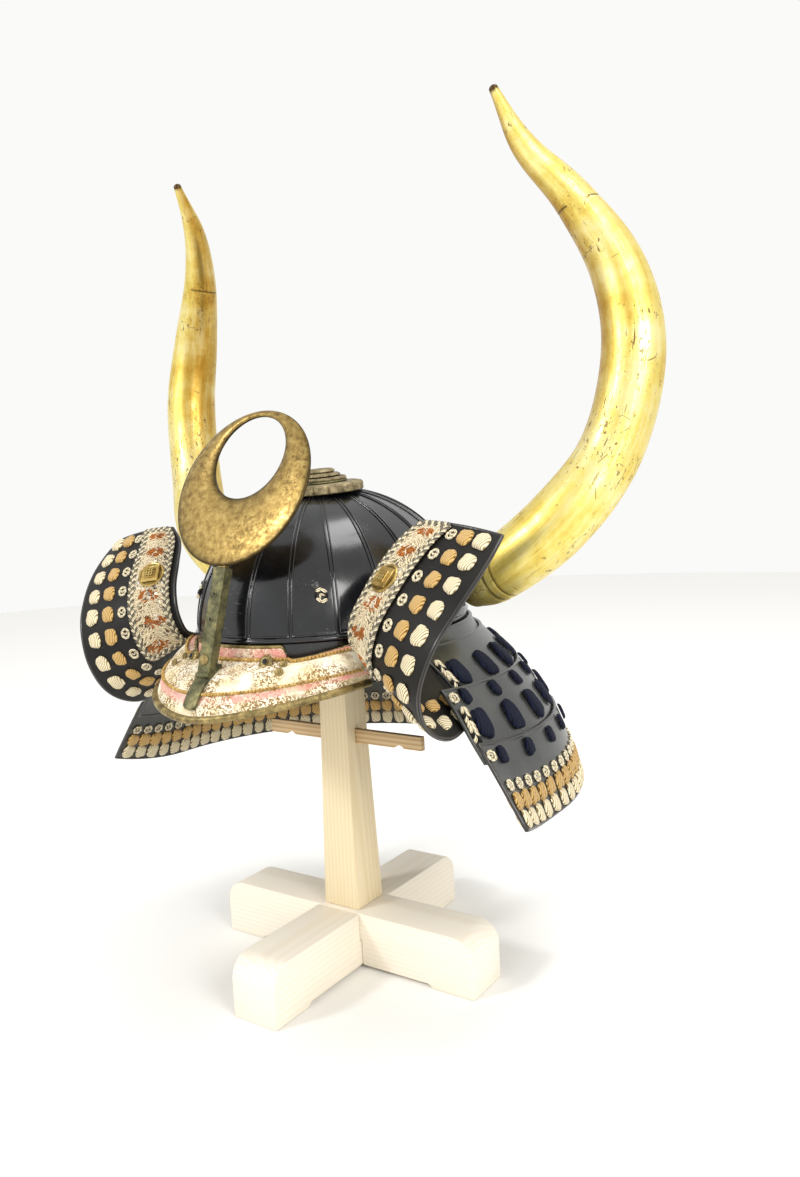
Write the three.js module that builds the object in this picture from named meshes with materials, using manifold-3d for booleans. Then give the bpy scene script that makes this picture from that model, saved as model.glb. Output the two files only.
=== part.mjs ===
// A samurai helmet with a ring crest and a pair of gilt horns, resting on a plain wooden cross stand.
// Millimetres, +Z up. The face opening looks along -Y, and the wearer's left is +X.

import * as THREE from 'three';
import { mergeVertices } from 'three/addons/utils/BufferGeometryUtils.js';
import Module from 'manifold-3d';

const wasm = await Module();
wasm.setup();

// Clearance between pieces that touch, and the room that flat facets take from a round fit
const gap = 0.3;
const facetRoom = 0.8;

// Stand of two crossed boards, a tapered post and a crossbar
const board = { length: 270, width: 45, height: 50, footLength: 41, archRise: 3.2, endRadius: 19 };
const post = { footWidth: 37, headWidth: 29, top: 386 };
const crossbar = {
  length: 166, thickness: 5.4, height: 12, top: 208, notchRadius: 6, notchDepth: 2.6, notchShare: 0.72,
};

// Ribbed bowl: an upright half ellipsoid whose ribs meet a little in front of its top
const bowl = {
  halfWidth: 105, halfDepth: 131, height: 113, wall: 3, baseZ: 305,
  plates: 20, ribWidth: 3.4, ribHeight: 1.8, poleShift: 0.095, crownHole: 15, rimHeight: 3, rimProud: 1.4,
};
const band = { height: 17, wall: 3 };

// Pad on the post's end, in the top of the bowl: its floor's height above the bowl's base
const pad = { floor: 81, sides: 24 };

// Crown ornament: a scalloped flange, a roped ring, a collar and a cap
const crown = {
  flangeRadius: 37, flangeHeight: 2.6, flangeWall: 3, flangeSlope: 5, lipDrop: 1.5, scallops: 18,
  scallopDepth: 1.6, boreRadius: 9, sagShare: 0.75,
};
const crownRings = [
  { name: 'crown_rope', outer: 24, foot: 0, height: 4.6 },
  { name: 'crown_collar', outer: 19, foot: 4.9, height: 3.2 },
  { name: 'crown_cap', outer: 14.5, foot: 8.4, height: 3.2 },
];

// Visor: a bill that leaves the band, with a flange against the band and a thick metal edge
const visor = {
  halfWidth: 97.5, depth: 180, sideDepth: 67, edgeZ: 257, edgeLift: 16, liftPower: 1.55, thickness: 3,
  crownShare: 0.14, edgeHalfAngle: 80, baseHalfAngle: 57, flangeHalfAngle: 25, flangeDrop: 2,
  seatDrop: 13, sideSeatDrop: 4, rimRadius: 2.8,
};

// Neck guard plates: each lower one hangs outside the one above
const skirt = {
  thickness: 3, clearance: 0.5, topZ: 301, drop: 139, halfWidth: 207, backDepth: 201,
  frontHalfWidth: 219, frontDepth: 66, frontSweep: 11, frontLift: 12, frontPower: 1.7, backSag: 3,
  sideTurn: 0.68,
};
const skirtCurve = [
  { drop: 0, side: 0, back: 0, front: 0 },
  { drop: 0.065, side: 0.088, back: 0.1, front: 0.12 },
  { drop: 0.266, side: 0.43, back: 0.46, front: 0.42 },
  { drop: 0.547, side: 0.767, back: 0.79, front: 0.67 },
  { drop: 1, side: 1, back: 1, front: 1 },
];
// Levels between the plates' own edges where their facets also bend
const bendLevels = [0.36, 0.82];
const lames = [
  { name: 'lame_1', top: 0, bottom: 0.165, short: true },
  { name: 'lame_2', top: 0.065, bottom: 0.44, short: true },
  { name: 'lame_3', top: 0.266, bottom: 0.665, short: false },
  { name: 'lame_4', top: 0.547, bottom: 1, short: false },
];

// Turned-back leaf at each front end of the second plate. A row is one station from the plate's end
// up to the leaf's top: x shares the span, y the forward reach, z the rise above the plate's top line.
const turnback = { span: 201, forward: 133, rise: 98, thickness: 2.6, rearDepth: 50 };
const turnbackRows = [
  { neckX: 0.498, neckY: 0.5, neckZ: 0.06, edgeX: 0.823, edgeY: 0.655, edgeZ: -0.565, bulge: 0.2 },
  { neckX: 0.46, neckY: 0.605, neckZ: 0.085, edgeX: 0.826, edgeY: 0.885, edgeZ: -0.42, bulge: 0.7 },
  { neckX: 0.438, neckY: 0.7, neckZ: 0.14, edgeX: 0.846, edgeY: 0.99, edgeZ: -0.16, bulge: 1 },
  { neckX: 0.45, neckY: 0.737, neckZ: 0.296, edgeX: 0.9, edgeY: 0.965, edgeZ: 0.163, bulge: 1 },
  { neckX: 0.492, neckY: 0.686, neckZ: 0.51, edgeX: 0.948, edgeY: 0.865, edgeZ: 0.39, bulge: 1 },
  { neckX: 0.53, neckY: 0.594, neckZ: 0.704, edgeX: 0.984, edgeY: 0.737, edgeZ: 0.59, bulge: 1 },
  { neckX: 0.582, neckY: 0.492, neckZ: 0.88, edgeX: 1, edgeY: 0.6, edgeZ: 0.755, bulge: 0.8 },
  { neckX: 0.662, neckY: 0.436, neckZ: 1, edgeX: 1, edgeY: 0.474, edgeZ: 0.888, bulge: 0.6 },
];
const leafBulge = 5;
const leafPanel = { thickness: 1.2, from: 0.3, to: 0.975, neckShare: 0.07, edgeShare: 0.43 };
const leafDisc = { radius: 12, base: 1.6, blockSide: 15, blockHeight: 4, along: 0.68, across: 0.23 };

// Ring crest and the socket that holds it
const crest = {
  radius: 65.5, holeRadius: 35.3, holeRise: 25, ridge: 3.6, edge: 1.1, lean: 27, sideShift: -2,
  footY: -134.5, footZ: 362.5,
};
const socket = {
  width: 12, depth: 9, footY: -156.5, footZ: 292, lean: 18.3, wall: 2.4, slotDepth: 24, tangLength: 20,
  tongueThickness: 2.6, tongueFrom: 0.24, tongueTo: 0.88, rivetRadius: 4.2, rivetHeight: 2,
};

// Horn centre line, from beside the bowl to the tip: shares of the half spread, of the sweep back
// and of the height above the bowl's base, with the radius as a share of the thickest one
const horn = { spread: 243, sweep: 83, height: 400.5, radius: 27.3, sides: 10, steps: 24 };
const hornRows = [
  { x: 0.477, y: 0.45, z: 0.068, radius: 0.74 },
  { x: 0.575, y: 0.375, z: 0.0925, radius: 0.91 },
  { x: 0.788, y: 0.474, z: 0.1865, radius: 1 },
  { x: 0.937, y: 0.8, z: 0.3235, radius: 0.93 },
  { x: 1, y: 0.978, z: 0.52, radius: 0.91 },
  { x: 0.951, y: 1, z: 0.675, radius: 0.8 },
  { x: 0.835, y: 0.807, z: 0.81, radius: 0.575 },
  { x: 0.728, y: 0.461, z: 0.906, radius: 0.37 },
  { x: 0.687, y: 0.119, z: 1, radius: 0.13 },
];
const hornSeatRadius = 10;

// Small domed heads: turn is the angle from the visor's middle, across the share of the way out
const visorHeads = [
  { name: 'visor_rosette', turn: 27, across: 0.13, radius: 4.6, height: 2.6 },
  { name: 'visor_stud_upper', turn: 36.5, across: 0.22, radius: 2.6, height: 1.6 },
  { name: 'visor_stud_lower', turn: 36.5, across: 0.42, radius: 2.8, height: 1.6 },
];
const bowlStud = { turn: 37.5, climb: 23, radius: 3.2, height: 3.4 };

const colours = {
  lacquer: { color: 0x23262b, roughness: 0.28, metalness: 0 },
  plate: { color: 0x35383d, roughness: 0.4, metalness: 0 },
  gold: { color: 0xd9b540, roughness: 0.35, metalness: 0.7 },
  brass: { color: 0x8d7140, roughness: 0.45, metalness: 0.8 },
  patina: { color: 0x6c6748, roughness: 0.6, metalness: 0.6 },
  leather: { color: 0xe4d6b8, roughness: 0.7, metalness: 0 },
  wood: { color: 0xecdcb9, roughness: 0.65, metalness: 0 },
};

const whole = new THREE.Group();
const helmet = new THREE.Group();
helmet.position.z = post.top - bowl.baseZ - pad.floor;
whole.add(helmet);
const radians = THREE.MathUtils.degToRad;

// General geometry

function tidied(geometry) {
  geometry.deleteAttribute('normal');
  geometry.deleteAttribute('uv');
  return mergeVertices(geometry, 1e-4);
}

function facingOut(positions, triangles) {
  let volume = 0;
  const a = new THREE.Vector3();
  const b = new THREE.Vector3();
  const c = new THREE.Vector3();
  for (const [i, j, k] of triangles) {
    a.fromArray(positions, 3 * i);
    b.fromArray(positions, 3 * j);
    c.fromArray(positions, 3 * k);
    volume += a.dot(b.cross(c));
  }
  const index = volume > 0 ? triangles.flat() : triangles.map(([i, j, k]) => [i, k, j]).flat();
  const geometry = new THREE.BufferGeometry();
  geometry.setAttribute('position', new THREE.Float32BufferAttribute(positions, 3));
  geometry.setIndex(index);
  return geometry;
}

// Solid between two matching grids of points
function solidBetween(front, back) {
  const rows = front.length;
  const columns = front[0].length;
  const positions = [...front.flat(), ...back.flat()].flatMap((point) => point.toArray());
  const near = (i, j) => i * columns + j;
  const far = (i, j) => rows * columns + near(i, j);
  const triangles = [];
  const quad = (p, q, r, s) => triangles.push([p, q, r], [p, r, s]);
  const last = columns - 1;
  for (let i = 0; i < rows - 1; i += 1) {
    for (let j = 0; j < last; j += 1) {
      quad(near(i, j), near(i + 1, j), near(i + 1, j + 1), near(i, j + 1));
      quad(far(i, j), far(i, j + 1), far(i + 1, j + 1), far(i + 1, j));
    }
    quad(near(i, 0), far(i, 0), far(i + 1, 0), near(i + 1, 0));
    quad(near(i, last), near(i + 1, last), far(i + 1, last), far(i, last));
  }
  for (let j = 0; j < last; j += 1) {
    quad(near(0, j), near(0, j + 1), far(0, j + 1), far(0, j));
    quad(near(rows - 1, j), far(rows - 1, j), far(rows - 1, j + 1), near(rows - 1, j + 1));
  }
  return facingOut(positions, triangles);
}

// Solid through a run of closed loops of points, capped at both ends or running round on itself
function solidThrough(loops, closed = false) {
  const rows = loops.length;
  const columns = loops[0].length;
  const positions = loops.flat().flatMap((point) => point.toArray());
  const at = (i, j) => (i % rows) * columns + (j % columns);
  const triangles = [];
  const spans = closed ? rows : rows - 1;
  for (let i = 0; i < spans; i += 1) {
    for (let j = 0; j < columns; j += 1) {
      triangles.push([at(i, j), at(i, j + 1), at(i + 1, j + 1)]);
      triangles.push([at(i, j), at(i + 1, j + 1), at(i + 1, j)]);
    }
  }
  if (!closed) {
    for (let j = 1; j < columns - 1; j += 1) {
      triangles.push([at(0, 0), at(0, j + 1), at(0, j)]);
      triangles.push([at(rows - 1, 0), at(rows - 1, j), at(rows - 1, j + 1)]);
    }
  }
  return facingOut(positions, triangles);
}

// Unit normal of a surface given as a function of two shares from 0 to 1
function normalOf(surface, u, v) {
  const step = 0.01;
  const du = surface(Math.min(u + step, 1), v).sub(surface(Math.max(u - step, 0), v));
  const dv = surface(u, Math.min(v + step, 1)).sub(surface(u, Math.max(v - step, 0)));
  return dv.cross(du).normalize();
}

function raised(surface, u, v, height) {
  return surface(u, v).addScaledVector(normalOf(surface, u, v), height);
}

function gridOf(rows, columns, pointAt) {
  const grid = [];
  for (let i = 0; i <= rows; i += 1) {
    grid.push(Array.from({ length: columns + 1 }, (_, j) => pointAt(i / rows, j / columns)));
  }
  return grid;
}

function plate(surface, rows, columns, low, high) {
  return solidBetween(
    gridOf(rows, columns, (u, v) => raised(surface, u, v, high)),
    gridOf(rows, columns, (u, v) => raised(surface, u, v, low)),
  );
}

function toSolid(geometry) {
  const merged = tidied(geometry);
  return new wasm.Manifold(new wasm.Mesh({
    numProp: 3,
    vertProperties: new Float32Array(merged.attributes.position.array),
    triVerts: new Uint32Array(merged.index.array),
  }));
}

function fromSolid(solid) {
  const mesh = solid.getMesh();
  const geometry = new THREE.BufferGeometry();
  geometry.setAttribute('position', new THREE.Float32BufferAttribute(mesh.vertProperties, 3));
  geometry.setIndex(Array.from(mesh.triVerts));
  return geometry;
}

function cut(geometry, ...tools) {
  return fromSolid(tools.reduce((solid, tool) => solid.subtract(toSolid(tool)), toSolid(geometry)));
}

function joined(geometry, ...others) {
  return fromSolid(others.reduce((solid, other) => solid.add(toSolid(other)), toSolid(geometry)));
}

function lathe(profile, segments) {
  const points = profile.map(([radius, height]) => new THREE.Vector2(radius, height));
  return new THREE.LatheGeometry(points, segments).rotateX(Math.PI / 2);
}

function box(width, depth, height, x, y, z) {
  return new THREE.BoxGeometry(width, depth, height).translate(x, y, z);
}

function addMesh(parent, name, geometry, finish) {
  const mesh = new THREE.Mesh(tidied(geometry), new THREE.MeshStandardMaterial(colours[finish]));
  mesh.name = name;
  parent.add(mesh);
  return mesh;
}

function mirrored(geometry, side) {
  if (side > 0) return geometry;
  const flipped = geometry.clone().scale(-1, 1, 1);
  const index = Array.from(flipped.index.array);
  for (let i = 0; i < index.length; i += 3) {
    [index[i + 1], index[i + 2]] = [index[i + 2], index[i + 1]];
  }
  flipped.setIndex(index);
  return flipped;
}

const sides = [{ word: 'left', sign: 1 }, { word: 'right', sign: -1 }];

// A small head seated on the facet that a line from one point towards another meets
function addHeadOn(mesh, from, towards, name, { radius, height }, finish) {
  const way = towards.clone().sub(from).normalize();
  const [hit] = new THREE.Raycaster(from, way).intersectObject(mesh);
  addHead(name, hit.point, hit.face.normal, { radius, height }, finish);
}

function addHead(name, seat, normal, { radius, height }, finish) {
  const profile = [[0, 0], [radius, 0], [radius * 0.75, height * 0.75], [0, height]];
  const mesh = addMesh(helmet, name, lathe(profile, 10), finish);
  mesh.quaternion.setFromUnitVectors(new THREE.Vector3(0, 0, 1), normal);
  mesh.position.copy(seat).addScaledVector(normal, 2 * gap);
}

// Stand

function boardOutline() {
  const half = board.length / 2;
  const foot = half - board.footLength;
  const top = board.height - board.endRadius;
  const outline = new THREE.Shape();
  outline.moveTo(-half, 0);
  outline.lineTo(-foot, 0);
  outline.lineTo(-foot + board.archRise, board.archRise);
  outline.lineTo(foot - board.archRise, board.archRise);
  outline.lineTo(foot, 0);
  outline.lineTo(half, 0);
  outline.lineTo(half, top);
  outline.absarc(half - board.endRadius, top, board.endRadius, 0, Math.PI / 2, false);
  outline.absarc(-half + board.endRadius, top, board.endRadius, Math.PI / 2, Math.PI, false);
  outline.closePath();
  return outline;
}

// A board along X, its lap cut from the top or from the bottom
function boardSolid(lapFromTop) {
  const solid = new THREE.ExtrudeGeometry(
    boardOutline(), { depth: board.width, bevelEnabled: false, curveSegments: 5 },
  );
  solid.translate(0, 0, -board.width / 2).rotateX(Math.PI / 2);
  const lap = board.width + 2 * gap;
  const side = lapFromTop ? 1 : -1;
  const middle = board.height / 2 + side * (board.height - gap) / 2;
  return cut(solid, box(lap, board.width + 2, board.height, 0, 0, middle));
}

addMesh(whole, 'base_board_side', boardSolid(false), 'wood');
addMesh(whole, 'base_board_front', boardSolid(true).rotateZ(Math.PI / 2), 'wood');

function postSolid() {
  const squareAt = (width, z) => [[-1, -1], [1, -1], [1, 1], [-1, 1]]
    .map(([x, y]) => new THREE.Vector3(x * width / 2, y * width / 2, z));
  const shaft = solidThrough([
    squareAt(post.footWidth, board.height + gap),
    squareAt(post.headWidth, crossbar.top + crossbar.height),
    squareAt(post.headWidth, post.top),
  ]);
  const slot = box(post.footWidth + 2, crossbar.thickness + 2 * gap, crossbar.height + 2 * gap,
    0, 0, crossbar.top - crossbar.height / 2);
  return cut(shaft, slot);
}

addMesh(whole, 'post', postSolid(), 'wood');

function crossbarSolid() {
  const middle = crossbar.top - crossbar.height / 2;
  const bar = box(crossbar.length, crossbar.thickness, crossbar.height, 0, 0, middle);
  const drop = crossbar.top - crossbar.height + crossbar.notchDepth - crossbar.notchRadius;
  const notches = [-1, 1].map((side) => new THREE.CylinderGeometry(
    crossbar.notchRadius, crossbar.notchRadius, crossbar.thickness + 2, 16,
  ).translate(side * crossbar.notchShare * crossbar.length / 2, 0, drop));
  return cut(bar, ...notches);
}

addMesh(whole, 'crossbar', crossbarSolid(), 'wood');

// Bowl

// Point of the bowl's outside: turn is the angle from the front, climb runs from base to crown
function bowlPoint(turn, climb, grow) {
  const x = Math.cos(climb) * Math.sin(turn);
  const y = -Math.cos(climb) * Math.cos(turn) - bowl.poleShift * Math.sin(climb) ** 2;
  const z = Math.sqrt(Math.max(0, 1 - x * x - y * y));
  return new THREE.Vector3(
    (bowl.halfWidth + grow) * x,
    (bowl.halfDepth + grow) * y,
    bowl.baseZ + (bowl.height + grow) * z,
  );
}

const poleClimb = Math.acos(bowl.crownHole / bowl.halfWidth);
const climbs = [0, 0.2, 0.42, 0.63, 0.83, 1].map((share) => share * poleClimb);
const rimClimb = bowl.rimHeight / bowl.height;

// Turns across one plate, from the foot of its rib to the next, at a given radius
function plateTurns(radius) {
  const pitch = 2 * Math.PI / bowl.plates;
  const half = Math.min(bowl.ribWidth / 2 / radius, pitch * 0.24);
  return [
    { turn: -half * 0.8, proud: bowl.ribHeight },
    { turn: half * 0.8, proud: bowl.ribHeight },
    { turn: half * 1.5, proud: 0 },
    { turn: pitch - half * 1.5, proud: 0 },
  ];
}

function bowlRing(climb, grow, ribbed) {
  const radius = bowl.halfWidth * Math.cos(climb);
  const ring = [];
  for (let plateIndex = 0; plateIndex < bowl.plates; plateIndex += 1) {
    const start = 2 * Math.PI * (plateIndex + 0.5) / bowl.plates;
    for (const { turn, proud } of plateTurns(radius)) {
      ring.push(bowlPoint(start + turn, climb, grow + (ribbed ? proud : 0)));
    }
  }
  return ring;
}

function atHeight(ring, z) {
  return ring.map((point) => new THREE.Vector3(point.x, point.y, z));
}

// Rings run up the outside and down the inside, so the crown hole and the head opening stay open
function bowlSolid() {
  const rim = atHeight(bowlRing(0, bowl.rimProud, false), bowl.baseZ);
  const rimTop = atHeight(bowlRing(rimClimb, bowl.rimProud, false), bowl.baseZ + bowl.rimHeight);
  const outside = climbs.slice(1).map((climb) => bowlRing(climb, 0, true));
  const foot = bowlRing(rimClimb * 1.1, 0, true);
  const inside = [...climbs].reverse().map((climb) => bowlRing(climb, -bowl.wall, false));
  return solidThrough([rim, rimTop, foot, ...outside, ...inside], true);
}

const bowlMesh = addMesh(helmet, 'bowl', bowlSolid(), 'lacquer');

function bandRing(grow, z) {
  const steps = 40;
  return Array.from({ length: steps }, (_, i) => {
    const turn = 2 * Math.PI * i / steps;
    return new THREE.Vector3(
      (bowl.halfWidth + grow) * Math.sin(turn), -(bowl.halfDepth + grow) * Math.cos(turn), z,
    );
  });
}

const bandTop = bowl.baseZ - gap;
const bandFoot = bandTop - band.height;
addMesh(helmet, 'waist_band', solidThrough([
  bandRing(0, bandFoot),
  bandRing(0, bandTop),
  bandRing(-band.wall, bandTop),
  bandRing(-band.wall, bandFoot),
], true), 'lacquer');

// Pad on the post's end, shaped to the inside of the bowl's crown
function padSolid() {
  const floor = bowl.baseZ + pad.floor + gap;
  const insideGrow = -bowl.wall - gap - facetRoom;
  const ringOf = (climb) => Array.from(
    { length: pad.sides }, (_, i) => bowlPoint(2 * Math.PI * i / pad.sides, climb, insideGrow),
  );
  const rings = climbs.slice(-2).map(ringOf);
  const foot = atHeight(rings[0].map((point) => point.clone()), floor);
  return solidThrough([foot, ...rings]);
}

addMesh(helmet, 'post_pad', padSolid(), 'wood');

// Crown ornament, square to the bowl where its ribs meet
const pole = bowlPoint(0, Math.PI / 2, 0);
const crownGroup = new THREE.Group();
crownGroup.position.copy(pole);
crownGroup.rotation.x = Math.atan(bowl.height * bowl.poleShift / bowl.halfDepth);
helmet.add(crownGroup);

// How far the bowl has dropped below its pole at the flange's edge
const crownSag = bowl.height * (1 - Math.sqrt(1 - (crown.flangeRadius / bowl.halfWidth) ** 2));
const flangeFloor = bowl.ribHeight + gap;

function crownFlange() {
  const count = crown.scallops * 2;
  const ring = (radius, z, depth = 0) => Array.from({ length: count }, (_, i) => {
    const turn = 2 * Math.PI * i / count;
    const reach = radius - (i % 2) * depth;
    return new THREE.Vector3(reach * Math.cos(turn), reach * Math.sin(turn), z);
  });
  const edge = crown.flangeRadius;
  const foot = flangeFloor - crownSag * crown.sagShare;
  const top = flangeFloor + crown.flangeHeight;
  return solidThrough([
    ring(edge, foot, crown.scallopDepth),
    ring(edge, top - crown.lipDrop, crown.scallopDepth),
    ring(edge - crown.flangeSlope, top),
    ring(crown.boreRadius, top),
    ring(crown.boreRadius, flangeFloor),
    ring(edge - crown.flangeWall, flangeFloor),
  ], true);
}

addMesh(crownGroup, 'crown_flange', crownFlange(), 'patina');

for (const { name, outer, foot, height } of crownRings) {
  const low = flangeFloor + crown.flangeHeight + gap + foot;
  addMesh(crownGroup, name, lathe([
    [crown.boreRadius, low],
    [outer, low],
    [outer, low + height * 0.6],
    [outer - height * 0.4, low + height],
    [crown.boreRadius, low + height],
    [crown.boreRadius, low],
  ], 18), 'patina');
}

// Studs stand square on the plate that a line from the bowl's middle meets
const bowlMiddle = new THREE.Vector3(0, 0, bowl.baseZ);
for (const { word, sign } of sides) {
  const aim = bowlPoint(sign * radians(bowlStud.turn), radians(bowlStud.climb), bowl.wall * 4);
  addHeadOn(bowlMesh, aim, bowlMiddle, `bowl_stud_${word}`, bowlStud, 'lacquer');
}

// Visor

const visorTurn = radians(visor.edgeHalfAngle);

function visorEdge(turn) {
  const lift = Math.abs(Math.sin(turn)) ** visor.liftPower;
  return new THREE.Vector3(
    visor.halfWidth * Math.sin(turn),
    -visor.depth + (visor.depth - visor.sideDepth) * (1 - Math.cos(turn)),
    visor.edgeZ + visor.edgeLift * lift,
  );
}

const seatGrow = gap + visor.thickness / 2;

function visorSeat(turn) {
  const around = turn * visor.baseHalfAngle / visor.edgeHalfAngle;
  const flat = radians(visor.flangeHalfAngle);
  const rise = THREE.MathUtils.smoothstep(Math.abs(around), flat, radians(visor.baseHalfAngle));
  return new THREE.Vector3(
    (bowl.halfWidth + seatGrow) * Math.sin(around),
    -(bowl.halfDepth + seatGrow) * Math.cos(around),
    bandTop - visor.seatDrop + (visor.seatDrop - visor.sideSeatDrop) * rise,
  );
}

// Middle of the visor's sheet: u runs from side to side, v from the band out to the metal edge
function visorSheet(u, v) {
  const turn = (2 * u - 1) * visorTurn;
  const seat = visorSeat(turn);
  const edge = visorEdge(turn);
  const way = edge.clone().sub(seat);
  const crownRise = way.length() * visor.crownShare;
  const onward = visorEdge(turn + 0.01).sub(edge).normalize();
  const inset = (visor.rimRadius + 3 * gap) / onward.cross(way).length();
  const along = new THREE.Vector3(Math.cos(turn), Math.sin(turn), 0);
  const up = along.cross(way).normalize();
  if (up.z < 0) up.negate();
  return seat.addScaledVector(way, v * (1 - inset))
    .addScaledVector(up, 4 * v * (1 - v) * crownRise);
}

const visorNormalSign = Math.sign(normalOf(visorSheet, 0.5, 0.5).z);

// Upright flange that lies against the band above the bill's middle
function visorFlange(u, v) {
  const around = (2 * u - 1) * radians(visor.flangeHalfAngle);
  const low = bandTop - visor.seatDrop - 1;
  return new THREE.Vector3(
    (bowl.halfWidth + seatGrow) * Math.sin(around),
    -(bowl.halfDepth + seatGrow) * Math.cos(around),
    low + v * (bandTop - visor.flangeDrop - low),
  );
}

const halfSheet = visor.thickness / 2;
const visorMesh = addMesh(helmet, 'visor', joined(
  plate(visorSheet, 22, 4, -halfSheet, halfSheet),
  plate(visorFlange, 8, 1, -halfSheet, halfSheet),
), 'leather');

// A round bar along a curve
function barAlong(pointAt, steps, barSides, radius) {
  const points = Array.from({ length: steps + 1 }, (_, i) => pointAt(i / steps));
  const curve = new THREE.CatmullRomCurve3(points);
  const section = new THREE.Shape();
  for (let i = 0; i < barSides; i += 1) {
    const turn = 2 * Math.PI * i / barSides;
    section[i ? 'lineTo' : 'moveTo'](radius * Math.cos(turn), radius * Math.sin(turn));
  }
  section.closePath();
  return new THREE.ExtrudeGeometry(section, { steps, bevelEnabled: false, extrudePath: curve });
}

const rimAt = (u) => visorEdge((2 * u - 1) * visorTurn);
addMesh(helmet, 'visor_rim', barAlong(rimAt, 24, 7, visor.rimRadius), 'patina');

for (const head of visorHeads) {
  for (const { word, sign } of sides) {
    const u = 0.5 + sign * head.turn / (2 * visor.edgeHalfAngle);
    const middle = visorSheet(u, head.across);
    const aim = raised(visorSheet, u, head.across, visorNormalSign * 3 * visor.thickness);
    addHeadOn(visorMesh, aim, middle, `${head.name}_${word}`, head, 'patina');
  }
}

// Neck guard

// Smooth value of one column of the flare table at a given drop
function skirtShare(column, drop) {
  const rows = skirtCurve;
  let i = 0;
  while (i < rows.length - 2 && drop > rows[i + 1].drop) i += 1;
  const slope = (k) => {
    const a = Math.max(k - 1, 0);
    const b = Math.min(k + 1, rows.length - 1);
    return (rows[b][column] - rows[a][column]) / (rows[b].drop - rows[a].drop);
  };
  const width = rows[i + 1].drop - rows[i].drop;
  const t = (drop - rows[i].drop) / width;
  return (2 * t ** 3 - 3 * t ** 2 + 1) * rows[i][column] + (t ** 3 - 2 * t ** 2 + t) * width * slope(i)
    + (3 * t ** 2 - 2 * t ** 3) * rows[i + 1][column] + (t ** 3 - t ** 2) * width * slope(i + 1);
}

// How far a plate has drawn in from the common flare, so that it passes inside the plates below it
function drawnIn(index, drop) {
  if (index === lames.length - 1) return 0;
  const own = lames[index].top;
  const next = lames[index + 1].top;
  const pitch = skirt.thickness + skirt.clearance;
  if (drop <= next) return pitch * Math.max(0, (drop - own) / (next - own));
  return pitch + drawnIn(index + 1, drop);
}

const skirtStart = gap + facetRoom + skirt.thickness;

// Point of a plate's outside: turn runs from the back (0) to either front end (1 or -1)
function lamePoint(index, turn, drop, inward, endY) {
  const draw = drawnIn(index, drop) + inward;
  const startX = bowl.halfWidth + skirtStart;
  const startY = bowl.halfDepth + skirtStart;
  const halfX = startX + skirtShare('side', drop) * (skirt.halfWidth - startX) - draw;
  const halfY = startY + skirtShare('back', drop) * (skirt.backDepth - startY) - draw;
  const level = skirt.topZ - drop * skirt.drop;
  const side = Math.sign(turn) || 1;
  const amount = Math.abs(turn);
  if (amount <= skirt.sideTurn) {
    const angle = amount / skirt.sideTurn * Math.PI / 2;
    const sag = skirt.backSag * drop * Math.cos(angle);
    return new THREE.Vector3(
      side * halfX * Math.sin(angle), halfY * Math.cos(angle), level - sag,
    );
  }
  const reach = skirt.frontDepth + skirt.frontSweep * drop;
  const startFront = startX * Math.sqrt(1 - (skirt.frontDepth / startY) ** 2);
  const frontX = startFront + skirtShare('front', drop) * (skirt.frontHalfWidth - startFront) - draw;
  const stop = endY === undefined ? reach : endY;
  const y = (amount - skirt.sideTurn) / (1 - skirt.sideTurn) * stop;
  const share = y / reach;
  const x = halfX + (frontX - halfX) * share ** skirt.frontPower;
  return new THREE.Vector3(side * x, -y, level + skirt.frontLift * drop * share ** 2);
}

// All plates share the same levels, so that facets of neighbours stay parallel
const plateEdges = lames.flatMap(({ top, bottom }) => [top, bottom]);
const skirtLevels = [...new Set([...plateEdges, ...bendLevels])].sort((a, b) => a - b);

function lameSolid(index) {
  const { top, bottom, short } = lames[index];
  const levels = skirtLevels.filter((drop) => drop >= top && drop <= bottom);
  const endY = short ? turnback.rearDepth : undefined;
  const surface = (inward) => gridOf(24, levels.length - 1, (u, v) => lamePoint(
    index, 2 * u - 1, levels[Math.round(v * (levels.length - 1))], inward, endY,
  ));
  return solidBetween(surface(0), surface(skirt.thickness));
}

lames.forEach(({ name }, index) => addMesh(helmet, name, lameSolid(index), 'plate'));

// Turned-back leaves

const leafPlate = 1;

function leafCurves() {
  const { top, bottom } = lames[leafPlate];
  const foot = skirt.topZ - top * skirt.drop;
  const endOf = (drop) => lamePoint(leafPlate, 1, drop, skirt.thickness / 2, turnback.rearDepth);
  const necks = [endOf(top)];
  const edges = [endOf(bottom)];
  const bulges = [0];
  for (const end of [necks[0], edges[0]]) end.y -= gap;
  for (const row of turnbackRows) {
    necks.push(new THREE.Vector3(
      row.neckX * turnback.span, -row.neckY * turnback.forward, foot + row.neckZ * turnback.rise,
    ));
    edges.push(new THREE.Vector3(
      row.edgeX * turnback.span, -row.edgeY * turnback.forward, foot + row.edgeZ * turnback.rise,
    ));
    bulges.push(row.bulge * leafBulge);
  }
  return {
    neck: new THREE.CatmullRomCurve3(necks),
    edge: new THREE.CatmullRomCurve3(edges),
    bulge: (u) => {
      const place = u * (bulges.length - 1);
      const i = Math.min(Math.floor(place), bulges.length - 2);
      return THREE.MathUtils.lerp(bulges[i], bulges[i + 1], place - i);
    },
  };
}

const leaf = leafCurves();

// Middle of the leaf's sheet: u runs from the plate's end to the leaf's top, v from the bowl outwards
function leafSheet(u, v) {
  const neck = leaf.neck.getPoint(u);
  const edge = leaf.edge.getPoint(u);
  const ahead = leaf.neck.getTangent(u).lerp(leaf.edge.getTangent(u), 0.5);
  const across = edge.sub(neck);
  const front = across.clone().cross(ahead).normalize();
  return neck.addScaledVector(across, v).addScaledVector(front, 4 * v * (1 - v) * leaf.bulge(u));
}

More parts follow.
